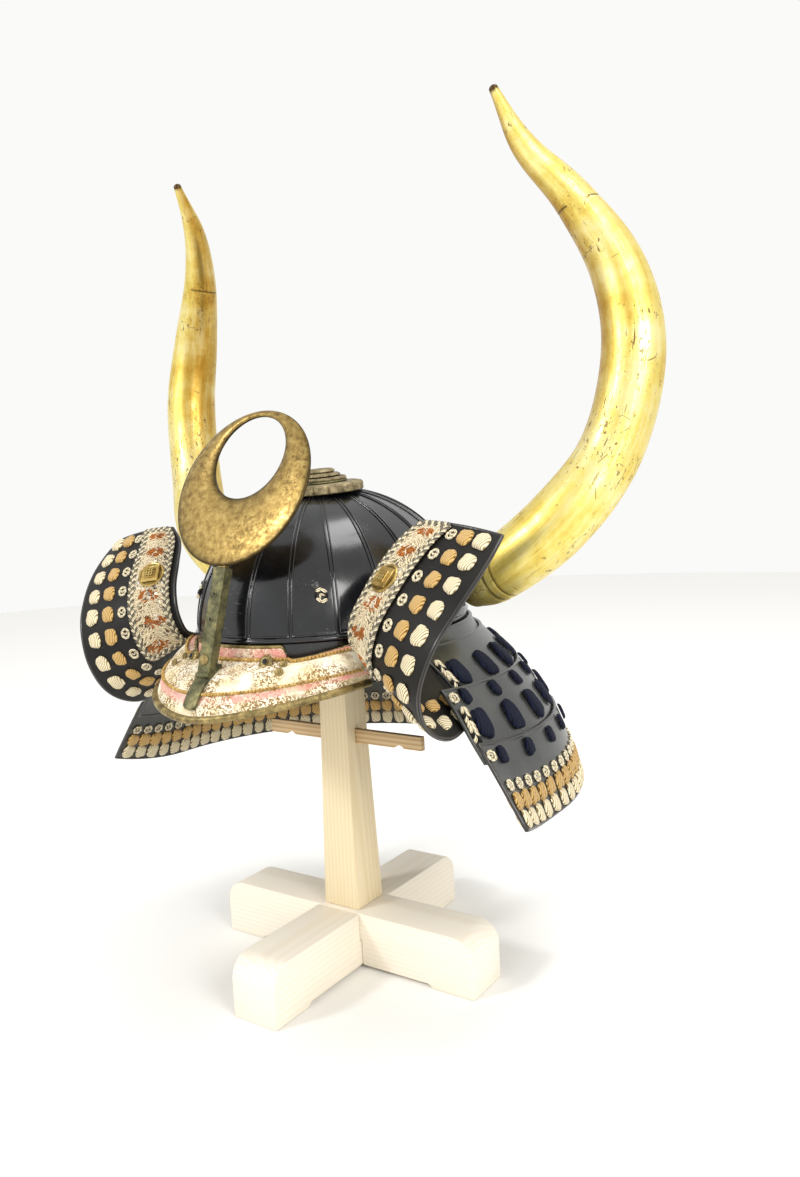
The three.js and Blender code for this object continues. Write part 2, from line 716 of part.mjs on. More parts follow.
const halfLeaf = turnback.thickness / 2;
const leafGeometry = plate(leafSheet, 40, 4, -halfLeaf, halfLeaf);

function panelSheet(u, v) {
  return leafSheet(
    leafPanel.from + u * (leafPanel.to - leafPanel.from),
    leafPanel.neckShare + v * (leafPanel.edgeShare - leafPanel.neckShare),
  );
}

const panelFloor = halfLeaf + gap;
const panelGeometry = plate(panelSheet, 27, 2, panelFloor, panelFloor + leafPanel.thickness);

function discGeometry() {
  const face = lathe([
    [0, 0],
    [leafDisc.radius, 0],
    [leafDisc.radius, leafDisc.base * 0.6],
    [leafDisc.radius * 0.8, leafDisc.base],
    [0, leafDisc.base],
  ], 14);
  const half = leafDisc.blockSide / 2;
  const squareAt = (size, z) => [[-1, -1], [1, -1], [1, 1], [-1, 1]]
    .map(([x, y]) => new THREE.Vector3(x * size, y * size, z));
  const block = solidThrough([
    squareAt(half, leafDisc.base / 2),
    squareAt(half, leafDisc.base + 1),
    squareAt(half * 0.55, leafDisc.base + leafDisc.blockHeight),
  ]);
  return joined(face, block);
}

const discNormal = normalOf(leafSheet, leafDisc.along, leafDisc.across);
const discSeat = leafSheet(leafDisc.along, leafDisc.across)
  .addScaledVector(discNormal, panelFloor + leafPanel.thickness + gap);
const discAlong = leafSheet(leafDisc.along + 0.03, leafDisc.across)
  .sub(leafSheet(leafDisc.along - 0.03, leafDisc.across)).normalize();
const discFrame = new THREE.Matrix4().makeBasis(
  discNormal.clone().cross(discAlong).negate(), discAlong, discNormal,
);

for (const { word, sign } of sides) {
  addMesh(helmet, `turnback_${word}`, mirrored(leafGeometry, sign), 'lacquer');
  addMesh(helmet, `turnback_leather_${word}`, mirrored(panelGeometry, sign), 'leather');
  const disc = discGeometry().applyMatrix4(discFrame).translate(discSeat.x, discSeat.y, discSeat.z);
  addMesh(helmet, `turnback_disc_${word}`, mirrored(tidied(disc), sign), 'gold');
}

// Crest socket

const socketTilt = -radians(socket.lean);
const socketLength = (crest.footZ - socket.footZ) / Math.cos(radians(socket.lean));

function tilted(geometry) {
  return geometry.rotateX(socketTilt).translate(0, socket.footY, socket.footZ);
}

// Tongue that follows the middle of the visor under the socket, narrowed to a round end
function tongueGrid(height) {
  return gridOf(8, 2, (u, v) => {
    const across = socket.tongueFrom + u * (socket.tongueTo - socket.tongueFrom);
    const taper = Math.sqrt(Math.max(0.12, 1 - Math.max(0, (u - 0.86) / 0.14) ** 2)) * (1 - 0.25 * u);
    const normal = normalOf(visorSheet, 0.5, across).multiplyScalar(visorNormalSign);
    const point = visorSheet(0.5, across).addScaledVector(normal, halfSheet + gap + height);
    point.x += (v - 0.5) * socket.width * taper;
    return point;
  });
}

function socketSolid() {
  const bar = tilted(box(socket.width, socket.depth, socketLength, 0, 0, socketLength / 2));
  const slot = tilted(box(
    socket.width - 2 * socket.wall, socket.depth - 2 * socket.wall, socket.slotDepth,
    0, 0, socketLength - socket.slotDepth / 2 + 1,
  ));
  const tongue = solidBetween(tongueGrid(socket.tongueThickness), tongueGrid(0));
  const foot = tilted(box(socket.width, socket.depth, 2 * socket.width, 0, 0, 0));
  const visorClear = plate(
    (u, v) => visorSheet(0.4 + 0.2 * u, 0.9 * v), 6, 8, -visorNormalSign * 3 * socket.width,
    visorNormalSign * (halfSheet + gap),
  );
  return cut(joined(bar, foot, tongue), slot, visorClear);
}

addMesh(helmet, 'crest_socket', socketSolid(), 'patina');

const socketFront = new THREE.Vector3(0, -1, 0).applyAxisAngle(new THREE.Vector3(1, 0, 0), socketTilt);
const socketRise = new THREE.Vector3(0, 0, 1).applyAxisAngle(new THREE.Vector3(1, 0, 0), socketTilt);
const rivetSeat = new THREE.Vector3(0, socket.footY, socket.footZ)
  .addScaledVector(socketFront, socket.depth / 2).addScaledVector(socketRise, socket.rivetRadius);
const socketRivet = { radius: socket.rivetRadius, height: socket.rivetHeight };
addHead('socket_rivet', rivetSeat, socketFront, socketRivet, 'patina');

// Ring crest

function crestSolid() {
  const steps = 34;
  const holeCentre = crest.radius + crest.holeRise;
  const section = [
    { out: 0, front: crest.edge * 1.3, back: crest.edge * 1.3 },
    { out: 0.3, front: crest.ridge, back: crest.ridge * 0.7 },
    { out: 0.72, front: crest.ridge * 0.85, back: crest.ridge * 0.7 },
    { out: 1, front: crest.edge, back: crest.edge },
  ];
  const loops = [];
  for (let i = 0; i < steps; i += 1) {
    const turn = 2 * Math.PI * i / steps;
    const dirX = Math.sin(turn);
    const dirZ = Math.cos(turn);
    const outer = -crest.holeRise * dirZ
      + Math.sqrt(crest.radius ** 2 - (crest.holeRise * dirX) ** 2);
    const width = outer - crest.holeRadius;
    const thin = Math.min(1, 0.45 + width / 60);
    const pointAt = (out, y) => new THREE.Vector3(
      dirX * (crest.holeRadius + width * out), y, holeCentre + dirZ * (crest.holeRadius + width * out),
    );
    loops.push([
      ...section.map(({ out, front }) => pointAt(out, -front * thin)),
      ...[...section].reverse().map(({ out, back }) => pointAt(out, back * thin)),
    ]);
  }
  const ring = solidThrough(loops, true).translate(crest.sideShift, 0, 0)
    .rotateX(-radians(crest.lean)).translate(0, crest.footY, crest.footZ + gap + crest.edge);
  const tangWidth = socket.width - 2 * socket.wall - 2 * gap;
  const tangDepth = socket.depth - 2 * socket.wall - 2 * gap;
  const tangHead = crest.radius * 0.08;
  const tang = tilted(box(
    tangWidth, tangDepth, socket.tangLength + tangHead, 0, 0,
    socketLength + tangHead / 2 - socket.tangLength / 2,
  ));
  return joined(ring, tang);
}

addMesh(helmet, 'crest_ring', crestSolid(), 'brass');

// Horns

function hornAt(share) {
  const rows = hornRows.map(({ x, y, z }) => new THREE.Vector3(
    x * horn.spread, y * horn.sweep, bowl.baseZ + z * horn.height,
  ));
  const radii = new THREE.SplineCurve(
    hornRows.map(({ radius }, i) => new THREE.Vector2(i, radius * horn.radius)),
  );
  const path = new THREE.CatmullRomCurve3(rows);
  return { centre: path.getPoint(share), ahead: path.getTangent(share), radius: radii.getPoint(share).y };
}

function hornSolid() {
  const loops = [];
  for (let i = 0; i <= horn.steps; i += 1) {
    const { centre, ahead, radius } = hornAt(i / horn.steps);
    const aside = new THREE.Vector3(0, 1, 0).cross(ahead).normalize();
    const other = ahead.clone().cross(aside);
    loops.push(Array.from({ length: horn.sides }, (_, j) => {
      const turn = 2 * Math.PI * j / horn.sides;
      return centre.clone()
        .addScaledVector(aside, radius * Math.cos(turn))
        .addScaledVector(other, radius * Math.sin(turn));
    }));
  }
  return solidThrough(loops);
}

// The bowl's outside, ribs and all, as a closed solid to cut a seat by
function bowlCore(grow) {
  return solidThrough(climbs.map((climb) => bowlRing(climb, grow, true)));
}

// A short round seat stands out from the bowl behind each turned-back leaf and meets the horn's end
function hornSeatSolid() {
  const { centre, ahead } = hornAt(0);
  const length = hornSeatRadius * 3;
  const seat = new THREE.CylinderGeometry(hornSeatRadius, hornSeatRadius, length, 12);
  seat.translate(0, -length / 2 - gap, 0);
  seat.applyQuaternion(new THREE.Quaternion().setFromUnitVectors(new THREE.Vector3(0, 1, 0), ahead));
  seat.translate(centre.x, centre.y, centre.z);
  return cut(seat, bowlCore(gap * 1.5));
}

const hornGeometry = hornSolid();
const seatGeometry = hornSeatSolid();
for (const { word, sign } of sides) {
  addMesh(helmet, `horn_${word}`, mirrored(hornGeometry, sign), 'gold');
  addMesh(helmet, `horn_seat_${word}`, mirrored(seatGeometry, sign), 'lacquer');
}

// The whole stands on its feet, centred on its own floor plan
whole.updateMatrixWorld(true);
const extent = new THREE.Box3().setFromObject(whole, true);
const middle = extent.getCenter(new THREE.Vector3());
whole.position.set(-middle.x, -middle.y, -extent.min.z);
whole.updateMatrixWorld(true);

export default whole;
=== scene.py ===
# A samurai helmet with a ring crest and gilt horns on a plain wooden stand.
# The helmet's points are worked out in millimetres from the stand's axis, and meshes hold metres.

import math
import random
import bmesh
import bpy
from mathutils import Matrix, Vector


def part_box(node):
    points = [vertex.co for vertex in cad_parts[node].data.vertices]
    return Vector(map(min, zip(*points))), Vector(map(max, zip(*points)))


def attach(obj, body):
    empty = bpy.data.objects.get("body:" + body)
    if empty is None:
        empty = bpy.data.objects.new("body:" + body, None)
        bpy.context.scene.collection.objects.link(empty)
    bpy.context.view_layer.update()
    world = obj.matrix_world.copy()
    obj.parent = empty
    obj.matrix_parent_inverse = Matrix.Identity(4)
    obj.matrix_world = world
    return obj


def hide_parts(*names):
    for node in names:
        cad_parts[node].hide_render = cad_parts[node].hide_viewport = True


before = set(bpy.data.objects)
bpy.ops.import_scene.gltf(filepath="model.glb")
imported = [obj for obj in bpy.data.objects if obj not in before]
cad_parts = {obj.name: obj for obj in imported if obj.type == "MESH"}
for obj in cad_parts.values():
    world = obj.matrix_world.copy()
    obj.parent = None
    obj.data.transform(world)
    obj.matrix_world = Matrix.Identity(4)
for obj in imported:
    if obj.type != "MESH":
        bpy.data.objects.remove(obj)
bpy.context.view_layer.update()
scene = bpy.context.scene
print("frame loaded:", len(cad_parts), "nodes")

mm = 0.001
fullTurn = 2 * math.pi
upward = Vector((0, 0, 1))
sides = ((1, "left"), (-1, "right"))
squareCorners = ((-1, -1), (1, -1), (1, 1), (-1, 1))
postLow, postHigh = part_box("post")
standAxis = (postLow + postHigh) / 2


def inFrame(point):
    return Vector((point[0] * mm + standAxis.x, point[1] * mm + standAxis.y, point[2] * mm))


# Camera at the photo's angle
photoView = {"azimuth": 34.665, "elevation": 6.325, "roll": -3.065, "place": (519.2, -652.4, 420.0),
             "lens": 29.52}


def makeCamera():
    azimuth, elevation, roll = (math.radians(photoView[key]) for key in ("azimuth", "elevation", "roll"))
    back = Vector((math.sin(azimuth) * math.cos(elevation), -math.cos(azimuth) * math.cos(elevation),
                   math.sin(elevation)))
    right = Vector((math.cos(azimuth), math.sin(azimuth), 0))
    up = back.cross(right)
    data = bpy.data.cameras.new("photoCamera")
    data.lens = photoView["lens"]
    data.sensor_width = 36
    data.clip_start = 0.01
    camera = linkObject("photoCamera", data)
    turned = Matrix((right * math.cos(roll) + up * math.sin(roll),
                     up * math.cos(roll) - right * math.sin(roll), back)).transposed()
    camera.matrix_world = Matrix.Translation(inFrame(photoView["place"])) @ turned.to_4x4()
    scene.camera = camera


# Small tools for meshes

def linkObject(name, data):
    thing = bpy.data.objects.new(name, data)
    scene.collection.objects.link(thing)
    return thing


def circle(count):
    return [(math.cos(fullTurn * i / count), math.sin(fullTurn * i / count)) for i in range(count)]


def gridOf(rows, columns, pointAt):
    return [[pointAt(i / rows, j / columns) for j in range(columns + 1)] for i in range(rows + 1)]


def flatten(grid):
    return [value for row in grid for value in row]


def smoothStep(value, low, high):
    share = max(0, min(1, (value - low) / (high - low)))
    return share * share * (3 - 2 * share)


def smoothShade(mesh, angle):
    mesh.polygons.foreach_set("use_smooth", [True] * len(mesh.polygons))
    mesh.set_sharp_from_angle(angle=math.radians(angle))


def enclosedVolume(points, faces):
    total = 0
    for face in faces:
        a = points[face[0]]
        for i in range(1, len(face) - 1):
            total += a.dot(points[face[i]].cross(points[face[i + 1]]))
    return total


# One number or one vector for each point
def setMark(mesh, name, values):
    kind, field = ("FLOAT_VECTOR", "vector") if len(values) > len(mesh.vertices) else ("FLOAT", "value")
    mesh.attributes.new(name, kind, "POINT").data.foreach_set(field, values)


def wireObject(name, points, edges=()):
    mesh = bpy.data.meshes.new(name)
    mesh.from_pydata(points, edges, [])
    return linkObject(name, mesh)


def fillMesh(name, points, faces, uv, sharp):
    mesh = bpy.data.meshes.new(name)
    mesh.from_pydata(points, [], faces)
    corners = [0] * len(mesh.loops)
    mesh.loops.foreach_get("vertex_index", corners)
    placesOnSheet = [value for corner in corners for value in uv[corner]]
    mesh.uv_layers.new(name="UVMap").data.foreach_set("uv", placesOnSheet)
    smoothShade(mesh, sharp)
    return linkObject(name, mesh)


def makeMesh(name, points, faces, uv, finish, marks, sharp):
    placed = [inFrame(point) for point in points]
    if enclosedVolume(placed, faces) < 0:
        faces = [tuple(reversed(face)) for face in faces]
    piece = fillMesh(name, placed, faces, uv, sharp)
    for mark, values in (marks or {}).items():
        setMark(piece.data, mark, values)
    piece.data.materials.append(finish)
    return piece


def gridFaces(rows, columns, closedRows=False, closedColumns=False):
    faces = []
    for i in range(rows if closedRows else rows - 1):
        for j in range(columns if closedColumns else columns - 1):
            row = i * columns
            nextRow = (i + 1) % rows * columns
            nextColumn = (j + 1) % columns
            faces.append((row + j, nextRow + j, nextRow + nextColumn, row + nextColumn))
    return faces


# Closed sheet between two grids of points, with its edges filled
def sheetMesh(name, front, back, finish, marks=None, sharp=35):
    rows = len(front)
    columns = len(front[0])
    size = rows * columns
    faces = gridFaces(rows, columns)
    faces += [tuple(reversed([size + k for k in face])) for face in faces]
    border = list(range(columns)) + [i * columns + columns - 1 for i in range(1, rows)]
    border += [(rows - 1) * columns + j for j in range(columns - 2, -1, -1)]
    border += [i * columns for i in range(rows - 2, 0, -1)]
    faces += [(a, b, size + b, size + a) for a, b in zip(border, border[1:] + border[:1])]
    uv = [(i / (rows - 1), j / (columns - 1)) for i in range(rows) for j in range(columns)] * 2
    doubled = {mark: values * 2 for mark, values in (marks or {}).items()}
    return makeMesh(name, flatten(front + back), faces, uv, finish, doubled, sharp)


# Closed skin through loops of points: capped, or running round on itself
def loopMesh(name, loops, finish, closed=False, sharp=35, marks=None):
    rows = len(loops)
    columns = len(loops[0])
    faces = gridFaces(rows, columns, closed, True)
    if not closed:
        faces += [tuple(range(columns - 1, -1, -1)), tuple(range((rows - 1) * columns, rows * columns))]
    uv = [(i / (rows - 1), j / columns) for i in range(rows) for j in range(columns)]
    return makeMesh(name, flatten(loops), faces, uv, finish, marks, sharp)


# Place, facing and direction on a surface given by two shares
def surfaceFrame(surface, u, v, side=1):
    step = 0.004
    along = surface(min(u + step, 1), v) - surface(max(u - step, 0), v)
    across = surface(u, min(v + step, 1)) - surface(u, max(v - step, 0))
    return surface(u, v), across.cross(along).normalized() * side, along.normalized()


def raisedGrid(surface, rows, columns, height, side=1):
    def raised(u, v):
        point, facing, _ = surfaceFrame(surface, u, v, side)
        return point + facing * height

    return gridOf(rows, columns, raised)


def mirrorPoint(point):
    return Vector((-point[0], point[1], point[2]))


def mirrorGrid(grid, sign):
    return grid if sign > 0 else [[mirrorPoint(point) for point in row] for row in grid]


def mirrorSpots(spots, sign):
    return spots if sign > 0 else [(*map(mirrorPoint, spot[:3]), *spot[3:]) for spot in spots]


# Shares along a path at an even spacing in millimetres
def walk(pathAt, pitch, start=0.0, end=1.0, fine=300):
    shares = [start + (end - start) * i / fine for i in range(fine + 1)]
    points = [pathAt(share) for share in shares]
    reached = [0.0]
    for a, b in zip(points, points[1:]):
        reached.append(reached[-1] + (b - a).length)
    count = max(1, round(reached[-1] / pitch))
    found = []
    k = 0
    for i in range(count):
        wanted = (i + 0.5) * reached[-1] / count
        while reached[k + 1] < wanted:
            k += 1
        part = (wanted - reached[k]) / (reached[k + 1] - reached[k])
        found.append(shares[k] + (shares[k + 1] - shares[k]) * part)
    return found


def pathLength(pathAt, steps):
    return sum((pathAt((i + 1) / steps) - pathAt(i / steps)).length for i in range(steps))


# Path round a patch of a surface, from corner to corner
def perimeter(corners, steps, pointAt):
    path = []
    for (u0, v0), (u1, v1), count in zip(corners, corners[1:] + corners[:1], steps):
        path += [pointAt(u0 + (u1 - u0) * i / count, v0 + (v1 - v0) * i / count) for i in range(count)]
    return path


def joinPieces(name, pieces):
    if len(pieces) > 1:
        with bpy.context.temp_override(active_object=pieces[0], selected_editable_objects=pieces):
            bpy.ops.object.join()
    pieces[0].name = name
    pieces[0].data.name = name
    return pieces[0]


def dress(name, parts, node):
    piece = joinPieces(name, parts)
    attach(piece, "root")
    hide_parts(node)


makeCamera()


# Materials

def toLinear(colour):
    channels = [int(colour[i:i + 2], 16) / 255 for i in (1, 3, 5)]
    return [c / 12.92 if c <= 0.04045 else ((c + 0.055) / 1.055) ** 2.4 for c in channels] + [1.0]


def feed(tree, socket, value):
    if isinstance(value, bpy.types.NodeSocket):
        tree.links.new(value, socket)
    else:
        socket.default_value = toLinear(value) if str(value).startswith("#") else value


def addNode(tree, kind, inputs=None, stops=(), **settings):
    node = tree.nodes.new(kind)
    for name, value in settings.items():
        setattr(node, name, value)
    for socket, value in (inputs or {}).items():
        feed(tree, node.inputs[socket], value)
    for i, (place, colour) in enumerate(stops):
        element = node.color_ramp.elements[i] if i < 2 else node.color_ramp.elements.new(place)
        element.position = place
        element.color = toLinear(colour)
    return node


def newMaterial(name):
    material = bpy.data.materials.new(name)
    material.use_nodes = True
    return material, material.node_tree


def shaded(material, **sockets):
    tree = material.node_tree
    for name, value in sockets.items():
        feed(tree, tree.nodes["Principled BSDF"].inputs[name.replace("_", " ")], value)
    return material


def objectPlace(tree):
    return addNode(tree, "ShaderNodeTexCoord").outputs["Object"]


def attribute(tree, name, output="Fac"):
    return addNode(tree, "ShaderNodeAttribute", attribute_name=name).outputs[output]


def mapped(tree, vector, **inputs):
    return addNode(tree, "ShaderNodeMapping", {"Vector": vector, **inputs}).outputs["Vector"]


def noise(tree, vector, scale, detail, **inputs):
    return addNode(tree, "ShaderNodeTexNoise",
                   {"Vector": vector, "Scale": scale, "Detail": detail, **inputs}).outputs["Fac"]


def waves(tree, vector, scale, distortion, detailScale, **settings):
    return addNode(tree, "ShaderNodeTexWave", {
        "Vector": vector, "Scale": scale, "Distortion": distortion, "Detail": 2, "Detail Scale": detailScale},
        **settings).outputs["Fac"]


def ramp(tree, value, *stops):
    return addNode(tree, "ShaderNodeValToRGB", {"Fac": value}, stops).outputs["Color"]


def threshold(tree, value, low, high):
    return ramp(tree, value, (low, "#000000"), (high, "#ffffff"))


def maths(tree, operation, *values):
    return addNode(tree, "ShaderNodeMath", dict(enumerate(values)), operation=operation).outputs[0]


def times(tree, first, second):
    return maths(tree, "MULTIPLY", first, second)


def larger(tree, first, second):
    return maths(tree, "MAXIMUM", first, second)


def mix(tree, share, first, second, **settings):
    return addNode(tree, "ShaderNodeMix", {0: share, 6: first, 7: second}, data_type="RGBA",
                   **settings).outputs[2]


def remap(tree, value, fromLow, fromHigh, toLow, toHigh):
    return addNode(tree, "ShaderNodeMapRange", {"Value": value, "From Min": fromLow, "From Max": fromHigh,
                                                "To Min": toLow, "To Max": toHigh}).outputs["Result"]


def bump(tree, height, strength, distance=0.001, inputs=None, **settings):
    return addNode(tree, "ShaderNodeBump", {"Height": height, "Strength": strength, "Distance": distance,
                                            **(inputs or {})}, **settings).outputs["Normal"]


# Black urushi lacquer over iron: a glossy dark skin with grey chips, scratches and rubbed dust
def urushiLacquer(name, deep, dust, chip, roughLow, roughHigh, coat=0.35, shine=0.5):
    material, tree = newMaterial(name)
    place = objectPlace(tree)
    clouds = noise(tree, place, 22, 6, Roughness=0.62)
    tone = ramp(tree, clouds, (0.35, deep), (0.75, dust))
    stretched = mapped(tree, place, Scale=(60, 900, 260), Rotation=(0.4, 0.5, 0.8))
    scratches = threshold(tree, noise(tree, stretched, 1.0, 2), 0.7, 0.76)
    flecks = threshold(tree, noise(tree, place, 420, 3), 0.69, 0.72)
    patches = threshold(tree, noise(tree, place, 13, 3), 0.5, 0.66)
    worn = times(tree, times(tree, larger(tree, scratches, flecks), patches), 0.55)
    return shaded(material, Base_Color=mix(tree, worn, tone, chip),
                  Roughness=remap(tree, clouds, 0.3, 0.75, roughLow, roughHigh),
                  Normal=bump(tree, noise(tree, place, 45, 4), 0.12, 0.002),
                  Coat_Weight=coat, Coat_Roughness=0.14, Specular_IOR_Level=shine)


# Gold leaf over lacquered wood: pale lemon metal with brown specks and dashes drawn out along the horn, and
# amber mixed in on the inner, lower side as painted shade; "flow" gives the way along it and round it
def goldLeaf(name):
    material, tree = newMaterial(name)
    flow = attribute(tree, "flow", "Vector")
    clouds = noise(tree, flow, 26, 7, Roughness=0.66)
    streaks = noise(tree, mapped(tree, flow, Scale=(16, 210, 210)), 1.0, 6, Roughness=0.65)
    blend = maths(tree, "MULTIPLY_ADD", clouds, 0.6, times(tree, streaks, 0.4))
    tone = ramp(tree, blend, (0.36, "#caa744"), (0.48, "#e2cc6a"), (0.62, "#f0e3a0"))
    # "deep" is 1 on the horn's inner, lower side; the amber mixed in there is painted shade, not wear
    deep = times(tree, attribute(tree, "deep"), remap(tree, blend, 0.36, 0.6, 1.0, 0.55))
    paintedShadeAmber = mix(tree, deep, tone, "#a0731a")
    dots = noise(tree, mapped(tree, flow, Scale=(190, 340, 340)), 1.0, 4, Roughness=0.65)
    dashes = noise(tree, mapped(tree, flow, Scale=(38, 300, 300), Rotation=(0, 0.02, 0.05)), 1.0, 3)
    marks = larger(tree, threshold(tree, dots, 0.575, 0.64), threshold(tree, dashes, 0.635, 0.69))
    fields = threshold(tree, noise(tree, flow, 24, 5), 0.49, 0.6)
    faded = times(tree, times(tree, marks, fields), 0.85)
    cells = addNode(tree, "ShaderNodeTexVoronoi", {"Vector": flow, "Scale": 62}, feature="DISTANCE_TO_EDGE")
    line = ramp(tree, cells.outputs["Distance"], (0.0, "#ffffff"), (0.03, "#000000"))
    cracks = times(tree, line, threshold(tree, noise(tree, flow, 55, 2), 0.62, 0.65))
    worn = larger(tree, faded, cracks)
    rubbed = mix(tree, attribute(tree, "wear"), paintedShadeAmber, "#4a3312")
    uneven = bump(tree, blend, 0.22, 0.002)
    return shaded(material, Base_Color=mix(tree, worn, rubbed, "#5a3c10"),
                  Metallic=remap(tree, worn, 0.0, 1.0, 0.8, 0.2),
                  Roughness=remap(tree, blend, 0.36, 0.6, 0.46, 0.34),
                  Normal=bump(tree, worn, 0.3, 0.001, {"Normal": uneven}, invert=True),
                  Coat_Weight=0.12, Coat_Roughness=0.3)


# Worn metal with a patina: bright where rubbed, dark in spots and streaks
def wornMetal(name, dark, middle, bright, stain, roughness, metallic, grain):
    material, tree = newMaterial(name)
    place = objectPlace(tree)
    clouds = noise(tree, place, grain, 8, Roughness=0.7)
    tone = ramp(tree, clouds, (0.3, dark), (0.5, middle), (0.72, bright))
    specks = threshold(tree, noise(tree, place, 320, 4, Roughness=0.65), 0.57, 0.63)
    fields = threshold(tree, noise(tree, place, 26, 4), 0.45, 0.62)
    contours = noise(tree, place, 62, 3, Distortion=1.6)
    scratches = ramp(tree, contours, (0.486, "#000000"), (0.514, "#000000"), (0.5, "#ffffff"))
    marks = larger(tree, times(tree, specks, fields), times(tree, scratches, fields))
    worn = larger(tree, times(tree, marks, 0.7), attribute(tree, "wear"))
    return shaded(material, Base_Color=mix(tree, worn, tone, stain), Metallic=metallic,
                  Roughness=remap(tree, clouds, 0.3, 0.7, roughness + 0.18, roughness),
                  Normal=bump(tree, clouds, 0.18))


# Cream doeskin printed through stencils: dappled brown dots in patches, and rose dye where "dye" is 1
def printedDoeskin(name, ground, ink, rust, density, inkScale):
    material, tree = newMaterial(name)
    place = objectPlace(tree)
    base = ramp(tree, noise(tree, place, 60, 4), (0.35, ground), (0.65, "#f6eedb"))
    dots = noise(tree, place, inkScale, 3, Distortion=1.2)
    fields = ramp(tree, noise(tree, place, 42, 2), (0.36, "#202020"), (0.54, "#ffffff"))
    stencil = times(tree, threshold(tree, dots, density, density + 0.04), fields)
    blot = noise(tree, place, 33, 5, Roughness=0.7)
    inked = mix(tree, stencil, base, ink)
    stained = mix(tree, times(tree, threshold(tree, blot, 0.62, 0.7), 0.5), inked, rust)
    fade = ramp(tree, blot, (0.4, "#777777"), (0.6, "#ffffff"))
    dyed = mix(tree, times(tree, attribute(tree, "dye"), fade), stained, "#e2938a")
    return shaded(material, Base_Color=dyed, Roughness=0.72, Specular_IOR_Level=0.3,
                  Normal=bump(tree, dots, 0.3))


# Planed hinoki cypress: pale, close growth rings that run along the piece and show as arcs on its ends
def planedHinoki(name, turn, pale="#f2ece0", ring="#efe7d8"):
    material, tree = newMaterial(name)
    lying = mapped(tree, objectPlace(tree), Rotation=turn)
    drawn = mapped(tree, lying, Scale=(0.06, 1, 1), Location=(0, 0.021, 0.034))
    rings = waves(tree, drawn, 78, 2.4, 0.6, wave_type="RINGS", rings_direction="X")
    warm = mix(tree, noise(tree, drawn, 28, 3), "#ffffff", "#f7eedc")
    mixed = mix(tree, 0.55, ramp(tree, rings, (0.3, pale), (0.95, ring)), warm, blend_type="MULTIPLY")
    return shaded(material, Base_Color=mixed, Roughness=0.55, Specular_IOR_Level=0.35,
                  Normal=bump(tree, rings, 0.02))


# Plied silk: fine slanted threads, darkened between them as painted shade in the grooves; "shade" picks the
# second colour, as in a checked braid
def pliedSilk(name, first, second, threads, sheen=0.15):
    material, tree = newMaterial(name)
    turned = mapped(tree, addNode(tree, "ShaderNodeTexCoord").outputs["UV"], Rotation=(0, 0, 0.35))
    lines = waves(tree, turned, threads / 3.2, 0.08, 2.5, wave_type="BANDS", bands_direction="Y")
    picked = mix(tree, attribute(tree, "shade"), first, second)
    threadGrooveShade = ramp(tree, lines, (0.05, "#97805e"), (0.5, "#ffffff"))
    return shaded(material, Base_Color=mix(tree, 1.0, picked, threadGrooveShade, blend_type="MULTIPLY"), Roughness=0.74,
                  Specular_IOR_Level=0.22, Sheen_Weight=sheen, Sheen_Roughness=0.4,
                  Normal=bump(tree, lines, 0.6))


lacquerBowl = urushiLacquer("urushiBowl", "#06070a", "#16181c", "#8a8c90", 0.12, 0.32)
# The plates' black lacquer gets a grey ground, lighter than the bowl's: painted sheen of light on its gloss;
# its chips and scratches are real wear
lacquerPlateWithPaintedSheen = urushiLacquer("urushiPlateWithPaintedSheen", "#232422", "#40413d", "#9a978e", 0.26, 0.42)
lacquerLeaf = urushiLacquer("urushiLeaf", "#090806", "#181612", "#6f685c", 0.45, 0.65, 0.06, 0.24)
lacquerRim = urushiLacquer("urushiRim", "#15110e", "#2c241d", "#8a7350", 0.26, 0.42, 0.3, 0.6)
leafGold = goldLeaf("goldLeafOnWood")
crestGold = wornMetal("giltBrassWorn", "#66502a", "#967d46", "#c2a869", "#1e1609", 0.3, 0.88, 190)
brassPatina = wornMetal("brassPatina", "#2c2e20", "#646245", "#93895c", "#1b1912", 0.46, 0.75, 110)
brassCrown = wornMetal("brassCrownDusty", "#4a4230", "#85785a", "#b3a47e", "#221d14", 0.5, 0.6, 120)
brassRim = wornMetal("brassRimWorn", "#4c4128", "#8b7a4e", "#c2ab70", "#2b2415", 0.4, 0.8, 130)
copperGilt = wornMetal("copperGilt", "#7c6330", "#ae9354", "#d6c080", "#3a2b12", 0.34, 0.88, 120)
ropeGilt = wornMetal("ropeGilt", "#7a5a2a", "#b8944e", "#e0c486", "#4a3618", 0.5, 0.35, 200)
visorLeather = printedDoeskin("doeskinVisor", "#e0d0a6", "#8c6f42", "#7c4c2a", 0.485, 500)
leafLeather = printedDoeskin("doeskinLeaf", "#5f4f30", "#241c14", "#7c4420", 0.5, 300)
woodAlongX = planedHinoki("hinokiAlongX", (0, 0, 0))
woodAlongY = planedHinoki("hinokiAlongY", (0, 0, math.pi / 2))
# The post and its pad get a warmer, darker hinoki than the boards: painted shade and painted reflection of
# the gilt horns
woodUprightPaintedShade = planedHinoki("hinokiUprightPaintedShade", (0, math.pi / 2, 0), "#eadbbb", "#e5d4ae")
woodBar = planedHinoki("hinokiBar", (0, 0, 0), "#d2b890", "#bc9c70")
silkPale = pliedSilk("silkCreamTan", "#f1e6c4", "#d8b472", 7.6)
silkNavy = pliedSilk("silkNavy", "#060e2a", "#0c1a3c", 7.0, 0.0)
silkChecked = pliedSilk("silkChecked", "#ece2c4", "#191816", 1.6)
silkTuft = pliedSilk("silkTuft", "#efe3c2", "#b56c2e", 1.2, 0.0)
print("materials made")


# Trees that set small pieces on spots and draw a section along paths

